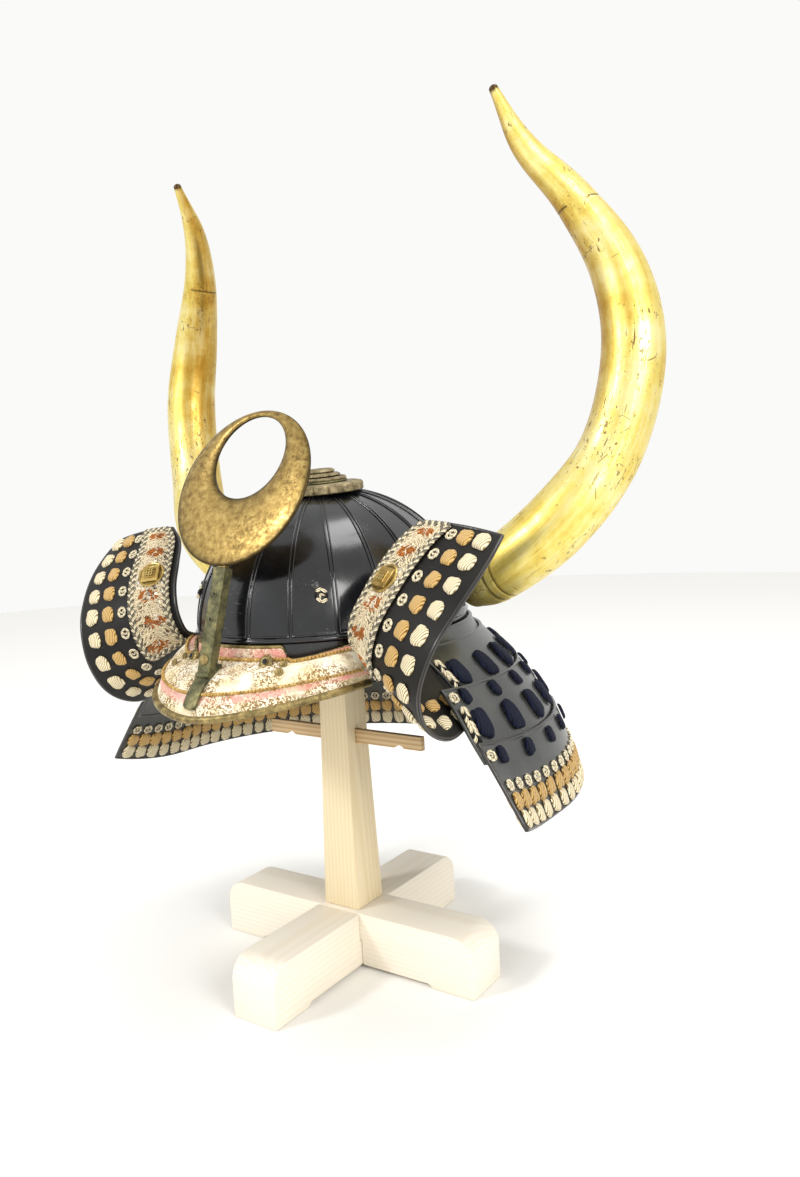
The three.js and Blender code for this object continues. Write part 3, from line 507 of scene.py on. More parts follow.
def newTree(name, sockets):
    tree = bpy.data.node_groups.new(name, "GeometryNodeTree")
    for label, kind in sockets.items():
        tree.interface.new_socket(name=label, in_out="INPUT", socket_type="NodeSocket" + kind)
    tree.interface.new_socket(name="Geometry", in_out="OUTPUT", socket_type="NodeSocketGeometry")
    return tree, addNode(tree, "NodeGroupInput").outputs


def finishTree(tree, solid, finish):
    realized = addNode(tree, "GeometryNodeRealizeInstances", {"Geometry": solid})
    painted = addNode(tree, "GeometryNodeSetMaterial", {"Geometry": realized.outputs[0], "Material": finish})
    addNode(tree, "NodeGroupOutput", {"Geometry": painted.outputs[0]})
    return tree


def namedVector(tree, name):
    node = addNode(tree, "GeometryNodeInputNamedAttribute", {"Name": name}, data_type="FLOAT_VECTOR")
    return node.outputs["Attribute"]


def chosenAt(tree, low, high, seed):
    return addNode(tree, "FunctionNodeRandomValue", {2: low, 3: high, "Seed": seed}).outputs[1]


def makeSpotTree():
    tree, given = newTree("setOnSpots", {"Geometry": "Geometry", "Piece": "Object", "Loose turn": "Float",
                                         "Loose size": "Float", "Seed": "Int", "Finish": "Material"})
    upright = addNode(tree, "FunctionNodeAlignRotationToVector", {"Vector": namedVector(tree, "facing")},
                      axis="Z")
    turned = addNode(tree, "FunctionNodeAlignRotationToVector", {
        "Rotation": upright.outputs[0], "Vector": namedVector(tree, "along")}, axis="X", pivot_axis="Z")
    loose = given["Loose turn"]
    spin = addNode(tree, "ShaderNodeCombineXYZ", {
        "Z": chosenAt(tree, times(tree, loose, -1.0), loose, given["Seed"])})
    spun = addNode(tree, "FunctionNodeRotateRotation", {
        "Rotation": turned.outputs[0], "Rotate By": spin.outputs[0]}, rotation_space="LOCAL")
    grown = chosenAt(tree, maths(tree, "SUBTRACT", 1.0, given["Loose size"]),
                     maths(tree, "ADD", 1.0, given["Loose size"]), maths(tree, "ADD", given["Seed"], 7.0))
    sized = addNode(tree, "ShaderNodeVectorMath", {0: namedVector(tree, "stretch"), "Scale": grown},
                    operation="SCALE")
    piece = addNode(tree, "GeometryNodeObjectInfo", {"Object": given["Piece"]})
    copies = addNode(tree, "GeometryNodeInstanceOnPoints", {
        "Points": given["Geometry"], "Instance": piece.outputs["Geometry"], "Rotation": spun.outputs[0],
        "Scale": sized.outputs[0]})
    return finishTree(tree, copies.outputs[0], given["Finish"])


def makeSectionTree():
    tree, given = newTree("drawAlongPath", {"Geometry": "Geometry", "Section": "Object",
                                            "Finish": "Material"})
    path = addNode(tree, "GeometryNodeMeshToCurve", {"Mesh": given["Geometry"]})
    tilted = addNode(tree, "GeometryNodeSetCurveNormal", {
        "Curve": path.outputs[0], "Normal": namedVector(tree, "facing")}, mode="FREE")
    outline = addNode(tree, "GeometryNodeObjectInfo", {"Object": given["Section"]})
    ring = addNode(tree, "GeometryNodeMeshToCurve", {"Mesh": outline.outputs["Geometry"]})
    drawn = addNode(tree, "GeometryNodeCurveToMesh", {
        "Curve": tilted.outputs[0], "Profile Curve": ring.outputs[0], "Fill Caps": True})
    return finishTree(tree, drawn.outputs[0], given["Finish"])


spotTree = makeSpotTree()
sectionTree = makeSectionTree()


def runTree(name, tree, base, inputs):
    modifier = base.modifiers.new(tree.name, "NODES")
    modifier.node_group = tree
    for item in tree.interface.items_tree:
        if item.in_out == "INPUT" and item.name in inputs:
            modifier[item.identifier] = inputs[item.name]
    bpy.context.view_layer.update()
    evaluated = base.evaluated_get(bpy.context.evaluated_depsgraph_get())
    mesh = bpy.data.meshes.new_from_object(evaluated)
    bpy.data.objects.remove(base)
    mesh.name = name
    return linkObject(name, mesh)


# A spot is its point, facing, direction, size in millimetres and shade
def setOnSpots(name, template, spots, finish, looseTurn=0.0, looseSize=0.0, seed=3):
    base = wireObject("spots", [inFrame(spot[0]) for spot in spots])
    for label, place, unit in (("facing", 1, 1), ("along", 2, 1), ("stretch", 3, mm)):
        setMark(base.data, label, [value * unit for spot in spots for value in spot[place]])
    setMark(base.data, "shade", [spot[4] for spot in spots])
    return runTree(name, spotTree, base, {"Piece": template, "Finish": finish, "Loose turn": looseTurn,
                                          "Loose size": looseSize, "Seed": seed})


# Draws an outline along paths, each a list of (point, facing); a closed path joins its ends.
# In the outline x stands off the surface and y runs across the path, in millimetres.
def drawAlong(name, paths, outline, finish, closed=False):
    count = len(outline)
    section = wireObject("section", [Vector((x * mm, y * mm, 0)) for x, y in outline],
                         [(i, (i + 1) % count) for i in range(count)])
    points = []
    edges = []
    for path in paths:
        first = len(points)
        points += [inFrame(point) for point, _ in path]
        edges += [(first + i, first + i + 1) for i in range(len(path) - 1)]
        if closed:
            edges.append((len(points) - 1, first))
    base = wireObject("paths", points, edges)
    setMark(base.data, "facing", [value for path in paths for _, facing in path for value in facing])
    piece = runTree(name, sectionTree, base, {"Section": section, "Finish": finish})
    smoothShade(piece.data, 50)
    bpy.data.objects.remove(section)
    return piece


def roundOutline(height, width, lift=0.0, count=8):
    return [(lift + height * c, width * s) for c, s in circle(count)]


# Templates, one unit across, for what repeats

def rawTemplate(name, points, faces):
    return fillMesh(name, points, faces, [(p.x + 0.5, p.y + 0.5) for p in points], 60)


def domeTemplate(name, rings, top):
    around = len(rings[0])
    last = (len(rings) - 1) * around
    faces = [tuple(reversed(face)) for face in gridFaces(len(rings), around, False, True)]
    faces += [(last + i, last + (i + 1) % around, last + around) for i in range(around)]
    faces.append(tuple(range(around - 1, -1, -1)))
    return rawTemplate(name, flatten(rings) + [top], faces)


# A laid thread pad: a rounded, uneven rectangle that swells from the plate
def padTemplate(name, seed):
    squareness = 3.0
    uneven = 0.035
    around = 32
    chance = random.Random(seed)
    lobes = [(count, chance.uniform(0, 6.3)) for count in (2, 3, 5)]
    reach = []
    for i in range(around):
        turn = fullTurn * i / around
        lobed = sum(math.sin(count * turn + phase) for count, phase in lobes) * uneven
        square = (abs(math.cos(turn)) ** squareness + abs(math.sin(turn)) ** squareness) ** (1 / squareness)
        reach.append(0.5 / square * (1 + lobed + chance.uniform(-uneven, uneven)))
    rings = [[Vector((ring * far * c, ring * far * s, (1 - ring ** 5) ** 0.5))
              for far, (c, s) in zip(reach, circle(around))] for ring in (1.0, 0.96, 0.84, 0.6)]
    return domeTemplate(name, rings, Vector((0, 0, 1.0)))


# A plump twist of thread, long in x
def beadTemplate(name):
    around = 8
    rings = 5
    points = [Vector((-0.5, 0, 0))]
    for i in range(1, rings):
        turn = math.pi * i / rings
        points += [Vector((-0.5 * math.cos(turn), 0.5 * math.sin(turn) * c, 0.5 * math.sin(turn) * s))
                   for c, s in circle(around)]
    points.append(Vector((0.5, 0, 0)))
    faces = [(0, 1 + (j + 1) % around, 1 + j) for j in range(around)]
    for i in range(rings - 2):
        for j in range(around):
            a = 1 + i * around + j
            b = 1 + i * around + (j + 1) % around
            faces.append((a, b, b + around, a + around))
    start = 1 + (rings - 2) * around
    faces += [(start + j, start + (j + 1) % around, len(points) - 1) for j in range(around)]
    return rawTemplate(name, points, faces)


# A small head: a flower with petals, or a plain dome
def headTemplate(name, petals, depth):
    around = petals * 6 if petals else 20
    rings = []
    profile = ((1.0, 0.0), (1.0, 0.35), (0.86, 0.62), (0.55, 0.72), (0.42, 0.7), (0.38, 0.95), (0.2, 1.0))
    for radius, height in profile:
        rings.append([])
        for i, (c, s) in enumerate(circle(around)):
            lobe = abs(math.sin(fullTurn * i / around * petals / 2)) ** 0.6 if petals else 1
            reach = radius * (1 - depth * (1 - lobe) * (radius > 0.5))
            rings[-1].append(Vector((reach * c, reach * s, height)))
    return domeTemplate(name, rings, Vector((0, 0, 0.98)))


pads = [padTemplate(f"pad{seed}", seed) for seed in (1, 2, 3)]
bead = beadTemplate("bead")
flowerHead = headTemplate("flowerHead", 8, 0.16)
plainHead = headTemplate("plainHead", 0, 0)


# Pads spread over the three kinds, so that no two neighbours are alike
def setPads(name, spots, finish, looseTurn, looseSize):
    made = [setOnSpots(f"{name}{i}", pads[i], spots[i::3], finish, looseTurn, looseSize, 5 + i)
            for i in range(3) if spots[i::3]]
    return joinPieces(name, made)


# Two rows of slanted strands side by side: a flat braid
def braidSpots(frames, width, height, slant, pattern, strand):
    spots = []
    for i, (point, facing, along) in enumerate(frames):
        across = facing.cross(along).normalized()
        for row, sign in enumerate((1, -1)):
            spots.append((point + across * sign * width * 0.25 + facing * height * 0.3, facing,
                          Matrix.Rotation(sign * slant, 3, facing) @ along, (strand, strand * 0.45, height),
                          pattern[(i + row) % len(pattern)]))
    return spots


def ropeSpots(frames, radius, slant, strand):
    return [(point + facing * radius * 0.5, facing, Matrix.Rotation(slant, 3, facing) @ along,
             (strand, strand * 0.48, radius * 2), 0.0) for point, facing, along in frames]


def tabSpots(frames, size, shade=0.0):
    lift = 0.2
    return [(point + facing * lift, facing, facing.cross(along).normalized(), size, shade)
            for point, facing, along in frames]


# A small knot: a ring of pale twists round a crossed middle, with dark gaps between
def knotSpots(frames, size):
    twists = 6
    spots = []
    for n, (point, facing, along) in enumerate(frames):
        across = facing.cross(along).normalized()
        for k in range(twists):
            turn = fullTurn * (k + 0.37 * n) / twists
            place = point + along * math.cos(turn) * size[0] * 0.36 + across * math.sin(turn) * size[1] * 0.36
            around = across * math.cos(turn) * size[1] - along * math.sin(turn) * size[0]
            spots.append((place + facing * size[2] * 0.3, facing, around.normalized(),
                          (size[0] * 0.44, size[1] * 0.25, size[2] * 0.85), 0.0))
        for sign in (1, -1):
            spots.append((point + facing * size[2] * 0.3 + across * sign * size[1] * 0.1, facing,
                          (along + across * 0.7 * sign).normalized(),
                          (size[0] * 0.34, size[1] * 0.15, size[2] * 0.6), 0.0))
    return spots


# Two slanted lobes side by side, drawn down through one hole
def lobeSpots(frames, size, shade):
    spots = []
    for point, facing, down, _, _ in tabSpots(frames, size, shade):
        across = facing.cross(down)
        for sign in (1, -1):
            leaned = (down + across * 0.09 * sign).normalized()
            place = point + across * size[1] * 0.21 * sign - down * size[0] * 0.05 * sign
            spots.append((place, facing, leaned, (size[0], size[1] * 0.5, size[2]), shade))
    return spots


print("tools ready")


# Stand

def softenedCopy(name, node, width, finish):
    shape = bmesh.new()
    shape.from_mesh(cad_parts[node].data)
    bmesh.ops.remove_doubles(shape, verts=shape.verts, dist=0.00002)
    bmesh.ops.dissolve_limit(shape, angle_limit=math.radians(1), verts=shape.verts, edges=shape.edges)
    sharp = [edge for edge in shape.edges
             if len(edge.link_faces) == 2 and edge.calc_face_angle() > math.radians(35)]
    bmesh.ops.bevel(shape, geom=sharp, offset=width * mm, segments=2, profile=0.5, affect="EDGES",
                    clamp_overlap=True)
    mesh = bpy.data.meshes.new(name)
    shape.to_mesh(mesh)
    shape.free()
    smoothShade(mesh, 32)
    mesh.materials.clear()
    mesh.materials.append(finish)
    dress(name, [linkObject(name, mesh)], node)


softenedCopy("standBoardSide", "base_board_side", 1.6, woodAlongX)
softenedCopy("standBoardFront", "base_board_front", 1.6, woodAlongY)
softenedCopy("standPost", "post", 1.2, woodUprightPaintedShade)
softenedCopy("standCrossbar", "crossbar", 0.6, woodBar)
softenedCopy("standPad", "post_pad", 2.0, woodUprightPaintedShade)
print("stand made")


# Bowl and waist band

bowl = {"halfWidth": 105, "halfDepth": 131, "height": 113, "wall": 3, "base": 305, "plates": 20,
        "poleShift": 0.095, "crownHole": 15, "flat": 0.9, "lineGap": 1.25, "lineHeight": 0.8,
        "lineWidth": 0.75, "baseLine": 5.2, "rimProud": 1.4}
waist = {"top": bowl["base"] - 0.3, "height": 17, "wall": 3, "soft": 0.7}
poleClimb = math.acos(bowl["crownHole"] / bowl["halfWidth"])
platePitch = fullTurn / bowl["plates"]


def ellipsePoint(grow, turn, height):
    return Vector(((bowl["halfWidth"] + grow) * math.sin(turn),
                   -(bowl["halfDepth"] + grow) * math.cos(turn), height))


def bowlPoint(turn, climb, grow=0.0):
    x = math.cos(climb) * math.sin(turn)
    y = -math.cos(climb) * math.cos(turn) - bowl["poleShift"] * math.sin(climb) ** 2
    z = math.sqrt(max(0, 1 - x * x - y * y))
    return Vector(((bowl["halfWidth"] + grow) * x, (bowl["halfDepth"] + grow) * y,
                   bowl["base"] + (bowl["height"] + grow) * z))


# Each plate is a little flatter than the bowl's round, and highest along its joints
def outerBowl(turn, climb, lift=0.0):
    part = ((turn / platePitch + 0.5) % 1.0) * 2 - 1
    return bowlPoint(turn, climb, -bowl["flat"] * (1 - part ** 2) * math.cos(climb) + lift)


def bowlFacing(turn, climb):
    step = 0.01
    along = outerBowl(turn + step, climb) - outerBowl(turn - step, climb)
    up = outerBowl(turn, climb + step) - outerBowl(turn, climb - step)
    return along.cross(up).normalized()


def makeBowl():
    around = bowl["plates"] * 10
    rows = 36
    turns = [fullTurn * i / around + platePitch / 2 for i in range(around)]
    rim = bowl["rimProud"]
    loops = [[ellipsePoint(lift, turn, bowl["base"] + height) for turn in turns]
             for lift, height in ((rim * 0.4, -0.1), (rim, 0.7), (rim, 2.0), (rim * 0.5, 2.9))]
    loops += [[outerBowl(turn, poleClimb * i / rows) for turn in turns] for i in range(1, rows + 1)]
    loops += [[bowlPoint(turn, poleClimb * i / rows, -bowl["wall"]) for turn in turns]
              for i in range(rows, -1, -2)]
    shell = loopMesh("bowlShell", loops, lacquerBowl, closed=True, sharp=50)
    lines = []
    low = bowl["baseLine"] / bowl["height"]
    steps = 40
    for plate in range(bowl["plates"]):
        start = platePitch * (plate + 0.5)
        path = []
        for i in range(steps + 1):
            climb = low + (poleClimb - low) * (1 - i / steps)
            inset = min(bowl["lineGap"] / (bowl["halfWidth"] * math.cos(climb)), platePitch * 0.3)
            path.append((start + inset, climb))
        foot = path[-1][0]
        path += [(foot + (start + platePitch - foot - (foot - start)) * i / 12, low) for i in range(1, 12)]
        path += [(2 * start + platePitch - turn, climb) for turn, climb in reversed(path[:steps + 1])]
        lines.append([(outerBowl(turn, climb), bowlFacing(turn, climb)) for turn, climb in path])
    outline = roundOutline(bowl["lineHeight"], bowl["lineWidth"], 0.25)
    beads = drawAlong("bowlLines", lines, outline, lacquerBowl)
    dress("helmetBowl", [shell, beads], "bowl")


def makeBand():
    top = waist["top"]
    foot = top - waist["height"]
    soft = waist["soft"]
    wall = waist["wall"]
    section = ((-soft, foot), (0, foot + soft), (0, top - soft), (-soft, top), (-wall + soft, top),
               (-wall, top - soft), (-wall, foot + soft), (-wall + soft, foot))
    steps = 120
    loops = [[ellipsePoint(grow, fullTurn * i / steps, height) for i in range(steps)]
             for grow, height in section]
    band = loopMesh("waistBand", loops, lacquerBowl, closed=True)
    dress("waistBand", [band], "waist_band")


makeBowl()
makeBand()
print("bowl made")


# Crown ornament, square to the bowl where its plates meet

crown = {"flangeRadius": 37, "flangeHeight": 2.6, "scallops": 18, "scallopDepth": 2.2, "petals": 16,
         "petalDepth": 1.6, "bore": 9, "skirtDrop": 5.2, "ropeRadius": 21.2, "foot": 2.1}
crownTurn = Matrix.Rotation(math.atan(bowl["height"] * bowl["poleShift"] / bowl["halfDepth"]), 3, "X")
crownFoot = bowlPoint(0, math.pi / 2)


def onCrown(radius, turn, height):
    return crownFoot + crownTurn @ Vector((radius * math.cos(turn), radius * math.sin(turn), height))


def crownLathe(name, profile, around, finish, reachAt=lambda radius, turn: radius):
    turns = [fullTurn * i / around for i in range(around)]
    loops = [[onCrown(reachAt(radius, turn), turn, height) for turn in turns] for radius, height in profile]
    return loopMesh(name, loops, finish, closed=True, sharp=40)


def scalloped(radius, turn):
    lobe = abs(math.sin(turn * crown["scallops"] / 2)) ** 0.55
    share = max(0, min(1, (radius - crown["flangeRadius"] + 7) / 7))
    return radius - crown["scallopDepth"] * (1 - lobe) * share


def petalled(radius, turn):
    lobe = abs(math.sin(turn * crown["petals"] / 2)) ** 0.6
    return radius - crown["petalDepth"] * (1 - lobe) * (radius > 12)


def makeCrown():
    floor = crown["foot"]
    top = floor + crown["flangeHeight"]
    low = top + 0.3
    edge = crown["flangeRadius"]
    bore = crown["bore"]
    skirtFoot = floor - crown["skirtDrop"]
    flange = crownLathe("crownFlange", (
        (edge - 1.0, skirtFoot), (edge, skirtFoot + 0.8), (edge, top - 1.6), (edge - 0.9, top - 0.6),
        (edge - 3.2, top), (edge - 5.5, top + 0.1), (edge - 6.2, top - 0.5), (edge - 7.4, top - 0.5),
        (edge - 8.2, top + 0.2), (24.6, top + 0.2), (bore, top), (bore, floor), (edge - 3, floor),
        (edge - 3, skirtFoot)), crown["scallops"] * 12, brassCrown, scalloped)
    dress("crownFlange", [flange], "crown_flange")
    ropeSeat = crownLathe("crownRopeSeat", (
        (bore, low), (23.2, low), (23.9, low + 0.8), (23.4, low + 1.7), (20.5, low + 2.2), (18.6, low + 4.4),
        (bore, low + 4.4)), 96, brassPatina)
    frames = []
    twists = 84
    for i, (c, s) in enumerate(circle(twists)):
        frames.append((onCrown(crown["ropeRadius"], fullTurn * i / twists, low + 2.3),
                       crownTurn @ Vector((0.5 * c, 0.5 * s, 0.86)), crownTurn @ Vector((-s, c, 0))))
    rope = setOnSpots("crownRopeTwist", bead, ropeSpots(frames, 1.7, 0.75, 4.6), brassCrown)
    dress("crownRope", [ropeSeat, rope], "crown_rope")
    collar = crownLathe("crownCollar", (
        (bore, low + 4.9), (17.4, low + 4.9), (18.6, low + 5.7), (18.2, low + 6.9), (16.4, low + 7.9),
        (13.4, low + 8.0), (bore, low + 8.0)), 144, brassCrown, petalled)
    dress("crownCollar", [collar], "crown_collar")
    cap = crownLathe("crownCap", (
        (bore, low + 8.4), (13.2, low + 8.4), (14.3, low + 9.2), (13.6, low + 10.6), (11.6, low + 11.6),
        (10.2, low + 11.5), (bore, low + 10.9)), 72, brassCrown)
    dress("crownCap", [cap], "crown_cap")


makeCrown()
print("crown made")


# Visor

visor = {"halfWidth": 97.5, "depth": 180, "sideDepth": 67, "edgeZ": 257, "edgeLift": 16, "liftPower": 1.55,
         "thickness": 3, "crownShare": 0.14, "edgeHalf": 80, "baseHalf": 57, "flangeHalf": 25,
         "flangeDrop": 2, "seatDrop": 13, "sideSeatDrop": 4, "rimRadius": 2.8, "gap": 0.3}
# The upper rope runs along the fold, then steps out where the flange ends
ropeLines = {"stepAt": 36.0, "stepOver": 5.0, "innerShare": 0.05, "outerShare": 0.17, "lowerShare": 0.74,
             "endTurn": 74.0, "upperRadius": 1.8, "lowerRadius": 1.6, "slant": 0.62}


def visorEdge(turn):
    return Vector((visor["halfWidth"] * math.sin(turn),
                   -visor["depth"] + (visor["depth"] - visor["sideDepth"]) * (1 - math.cos(turn)),
                   visor["edgeZ"] + visor["edgeLift"] * abs(math.sin(turn)) ** visor["liftPower"]))


def visorSheet(u, v):
    turn = (2 * u - 1) * math.radians(visor["edgeHalf"])
    around = turn * visor["baseHalf"] / visor["edgeHalf"]
    rise = smoothStep(abs(around), math.radians(visor["flangeHalf"]), math.radians(visor["baseHalf"]))
    seat = ellipsePoint(visor["gap"] + visor["thickness"] / 2, around,
                        waist["top"] - visor["seatDrop"] + (visor["seatDrop"] - visor["sideSeatDrop"]) * rise)
    edge = visorEdge(turn)
    way = edge - seat
    onward = (visorEdge(turn + 0.01) - edge).normalized()
    inset = (visor["rimRadius"] + 2 * visor["gap"]) / onward.cross(way).length
    up = Vector((math.cos(turn), math.sin(turn), 0)).cross(way).normalized()
    if up.z < 0:
        up.negate()
    return seat + way * v * (1 - inset) + up * 4 * v * (1 - v) * visor["crownShare"] * way.length


visorSide = 1 if surfaceFrame(visorSheet, 0.5, 0.5)[1].z > 0 else -1


def upperRope(turn):
    step = smoothStep(abs(turn), ropeLines["stepAt"], ropeLines["stepAt"] + ropeLines["stepOver"])
    return ropeLines["innerShare"] + (ropeLines["outerShare"] - ropeLines["innerShare"]) * step


def lowerRope(turn):
    return ropeLines["lowerShare"]


# Here the visor is followed by degrees round it
def onVisor(turn, v, lift=visor["thickness"] / 2 - 0.1):
    point, facing, along = surfaceFrame(visorSheet, 0.5 + turn / (2 * visor["edgeHalf"]), v, visorSide)
    return point + facing * lift, facing, along


def billDye(u, v):
    if v < upperRope((2 * u - 1) * visor["edgeHalf"]) - 0.005:
        return 1.0
    return 0.85 if ropeLines["lowerShare"] + 0.03 < v < ropeLines["lowerShare"] + 0.14 else 0.0


def flangePoint(share, height, grow):
    corner = max(0, (abs(2 * share - 1) - 0.93) / 0.07)
    top = waist["top"] - visor["flangeDrop"] - 5 * corner ** 2
    low = waist["top"] - visor["seatDrop"] - 1
    return ellipsePoint(grow, (2 * share - 1) * math.radians(visor["flangeHalf"]), low + (top - low) * height)


def ropeTurns(ropeAt, pitch, fine):
    end = ropeLines["endTurn"]
    shares = walk(lambda s: onVisor((2 * s - 1) * end, ropeAt((2 * s - 1) * end))[0], pitch, fine=fine)
    return [(2 * s - 1) * end for s in shares]


def makeVisor():
    rows = 150
    columns = 28
    thin = visor["thickness"] / 2 - 0.25
    upper, lower = (raisedGrid(visorSheet, rows, columns, height, visorSide) for height in (thin, -thin))
    dye = flatten(gridOf(rows, columns, billDye))
    bill = sheetMesh("visorBill", upper, lower, visorLeather, {"dye": dye})
    flangeRows = 60
    inner, outer = (gridOf(flangeRows, 6, lambda share, height: flangePoint(share, height, grow))
                    for grow in (0.4, 2.6))
    flange = sheetMesh("visorFlange", outer, inner, visorLeather,
                       {"dye": flatten(gridOf(flangeRows, 6, lambda share, height: float(0 < height < 1)))})
    frames = []
    for turn in ropeTurns(upperRope, 2.8, 700):
        point, facing, _ = onVisor(turn, upperRope(turn))
        ahead = onVisor(turn + 0.3, upperRope(turn + 0.3))[0] - onVisor(turn - 0.3, upperRope(turn - 0.3))[0]
        frames.append((point, facing, ahead.normalized()))
    borders = ropeSpots(frames, ropeLines["upperRadius"], ropeLines["slant"], 3.9)
    borders += ropeSpots([onVisor(turn, lowerRope(turn)) for turn in ropeTurns(lowerRope, 2.7, 500)],
                         ropeLines["lowerRadius"], ropeLines["slant"], 3.8)
    rope = setOnSpots("visorRopes", bead, borders, ropeGilt)
    lip = [[(flangePoint(i / flangeRows, 1.0, 1.5), upward) for i in range(flangeRows + 1)]]
    first = visor["flangeHalf"] * visor["edgeHalf"] / visor["baseHalf"]
    for sign in (-1, 1):
        lip.append([onVisor(sign * (first + (visor["edgeHalf"] - first) * i / 39), 0.0, 0.4)[:2]
                    for i in range(40)])
    edging = drawAlong("visorLip", lip, roundOutline(1.5, 1.5), brassRim)
    dress("visorPeak", [bill, flange, rope, edging], "visor")

    path = [(visorEdge((2 * i / 120 - 1) * math.radians(visor["edgeHalf"])), upward) for i in range(121)]
    outline = roundOutline(visor["rimRadius"], visor["rimRadius"], count=14)
    dress("visorRim", [drawAlong("visorRim", [path], outline, brassRim)], "visor_rim")


# Rosettes and studs lean outward from the visor
def makeVisorHeads(sign, word):
    heads = (("rosette", 27, 0.13, 6.0, 4.0), ("stud_upper", 36.5, 0.22, 3.2, 2.6),
             ("stud_lower", 36.5, 0.42, 3.4, 2.6))
    for label, turn, v, radius, height in heads:
        point, facing, along = onVisor(sign * turn, v)
        outward = Vector((point.x, point.y, 0)).normalized()
        facing = (facing + outward * 1.7).normalized()
        along = (along - facing * along.dot(facing)).normalized()
        spot = (point + facing * 0.8, facing, along, (radius, radius, height), 0.0)
        parts = [setOnSpots("visorHead", flowerHead, [spot], brassRim)]
        if label == "rosette":
            # A flat black disc on the rosette's middle stands for its hole: painted shade
            hole = (point + facing * (height + 0.7), facing, along, (radius * 0.34, radius * 0.34, 0.3), 0.0)
            parts.append(setOnSpots("rosetteHole", plainHead, [hole], lacquerLeaf))
        dress(f"visorHead_{label}_{word}", parts, f"visor_{label}_{word}")


makeVisor()
for sign, word in sides:
    makeVisorHeads(sign, word)
print("visor made")


# Neck guard; each curve gives how far a plate's side, back or front has come out at a share of the drop

skirt = {"thickness": 3, "clearance": 0.5, "topZ": 301, "drop": 139, "halfWidth": 207, "backDepth": 201,
         "frontHalfWidth": 219, "frontDepth": 66, "frontSweep": 11, "frontLift": 12, "frontPower": 1.7,
         "backSag": 3, "sideTurn": 0.68, "start": 4.1, "sheet": 2.0, "bead": 1.6, "rearDepth": 50}
skirtCurve = {"drop": (0, 0.065, 0.266, 0.547, 1), "side": (0, 0.088, 0.43, 0.767, 1),
              "back": (0, 0.1, 0.46, 0.79, 1), "front": (0, 0.12, 0.42, 0.67, 1)}
lames = [{"top": 0, "bottom": 0.165, "short": True}, {"top": 0.065, "bottom": 0.44, "short": True},
         {"top": 0.266, "bottom": 0.665, "short": False}, {"top": 0.547, "bottom": 1, "short": False}]


def skirtShare(column, drop):
    drops = skirtCurve["drop"]
    values = skirtCurve[column]
    i = 0
    while i < len(drops) - 2 and drop > drops[i + 1]:
        i += 1

    def slope(k):
        a = max(k - 1, 0)
        b = min(k + 1, len(drops) - 1)
        return (values[b] - values[a]) / (drops[b] - drops[a])

    width = drops[i + 1] - drops[i]
    t = (drop - drops[i]) / width
    return ((2 * t ** 3 - 3 * t ** 2 + 1) * values[i] + (t ** 3 - 2 * t ** 2 + t) * width * slope(i)
            + (3 * t ** 2 - 2 * t ** 3) * values[i + 1] + (t ** 3 - t ** 2) * width * slope(i + 1))


# A plate is drawn in where the next one lies over it
def drawnIn(index, drop):
    if index == len(lames) - 1:
        return 0
    own = lames[index]["top"]
    following = lames[index + 1]["top"]
    pitch = skirt["thickness"] + skirt["clearance"]
    if drop <= following:
        return pitch * max(0, (drop - own) / (following - own))
    return pitch + drawnIn(index + 1, drop)


def lamePoint(index, turn, drop, inward=0.0):
    draw = drawnIn(index, drop) + inward
    startX = bowl["halfWidth"] + skirt["start"]
    startY = bowl["halfDepth"] + skirt["start"]
    halfX = startX + skirtShare("side", drop) * (skirt["halfWidth"] - startX) - draw
    halfY = startY + skirtShare("back", drop) * (skirt["backDepth"] - startY) - draw
    level = skirt["topZ"] - drop * skirt["drop"]
    side = -1 if turn < 0 else 1
    amount = abs(turn)
    if amount <= skirt["sideTurn"]:
        angle = amount / skirt["sideTurn"] * math.pi / 2
        return Vector((side * halfX * math.sin(angle), halfY * math.cos(angle),
                       level - skirt["backSag"] * drop * math.cos(angle)))
    reach = skirt["frontDepth"] + skirt["frontSweep"] * drop
    startFront = startX * math.sqrt(1 - (skirt["frontDepth"] / startY) ** 2)
    frontX = startFront + skirtShare("front", drop) * (skirt["frontHalfWidth"] - startFront) - draw
    stop = skirt["rearDepth"] if lames[index]["short"] else reach
    y = (amount - skirt["sideTurn"]) / (1 - skirt["sideTurn"]) * stop
    share = y / reach
    return Vector((side * (halfX + (frontX - halfX) * share ** skirt["frontPower"]), -y,
                   level + skirt["frontLift"] * drop * share ** 2))


def lameSurface(index, inward=0.0):
    top = lames[index]["top"]
    bottom = lames[index]["bottom"]
    return lambda u, v: lamePoint(index, 2 * u - 1, top + v * (bottom - top), inward)


def lameOuter(index, u, v):
    return surfaceFrame(lameSurface(index), u, v, -1)


def lameInner(index, u, v):
    return surfaceFrame(lameSurface(index, skirt["thickness"]), u, v, 1)


def insetShare(value, inset):
    return inset + value * (1 - 2 * inset)


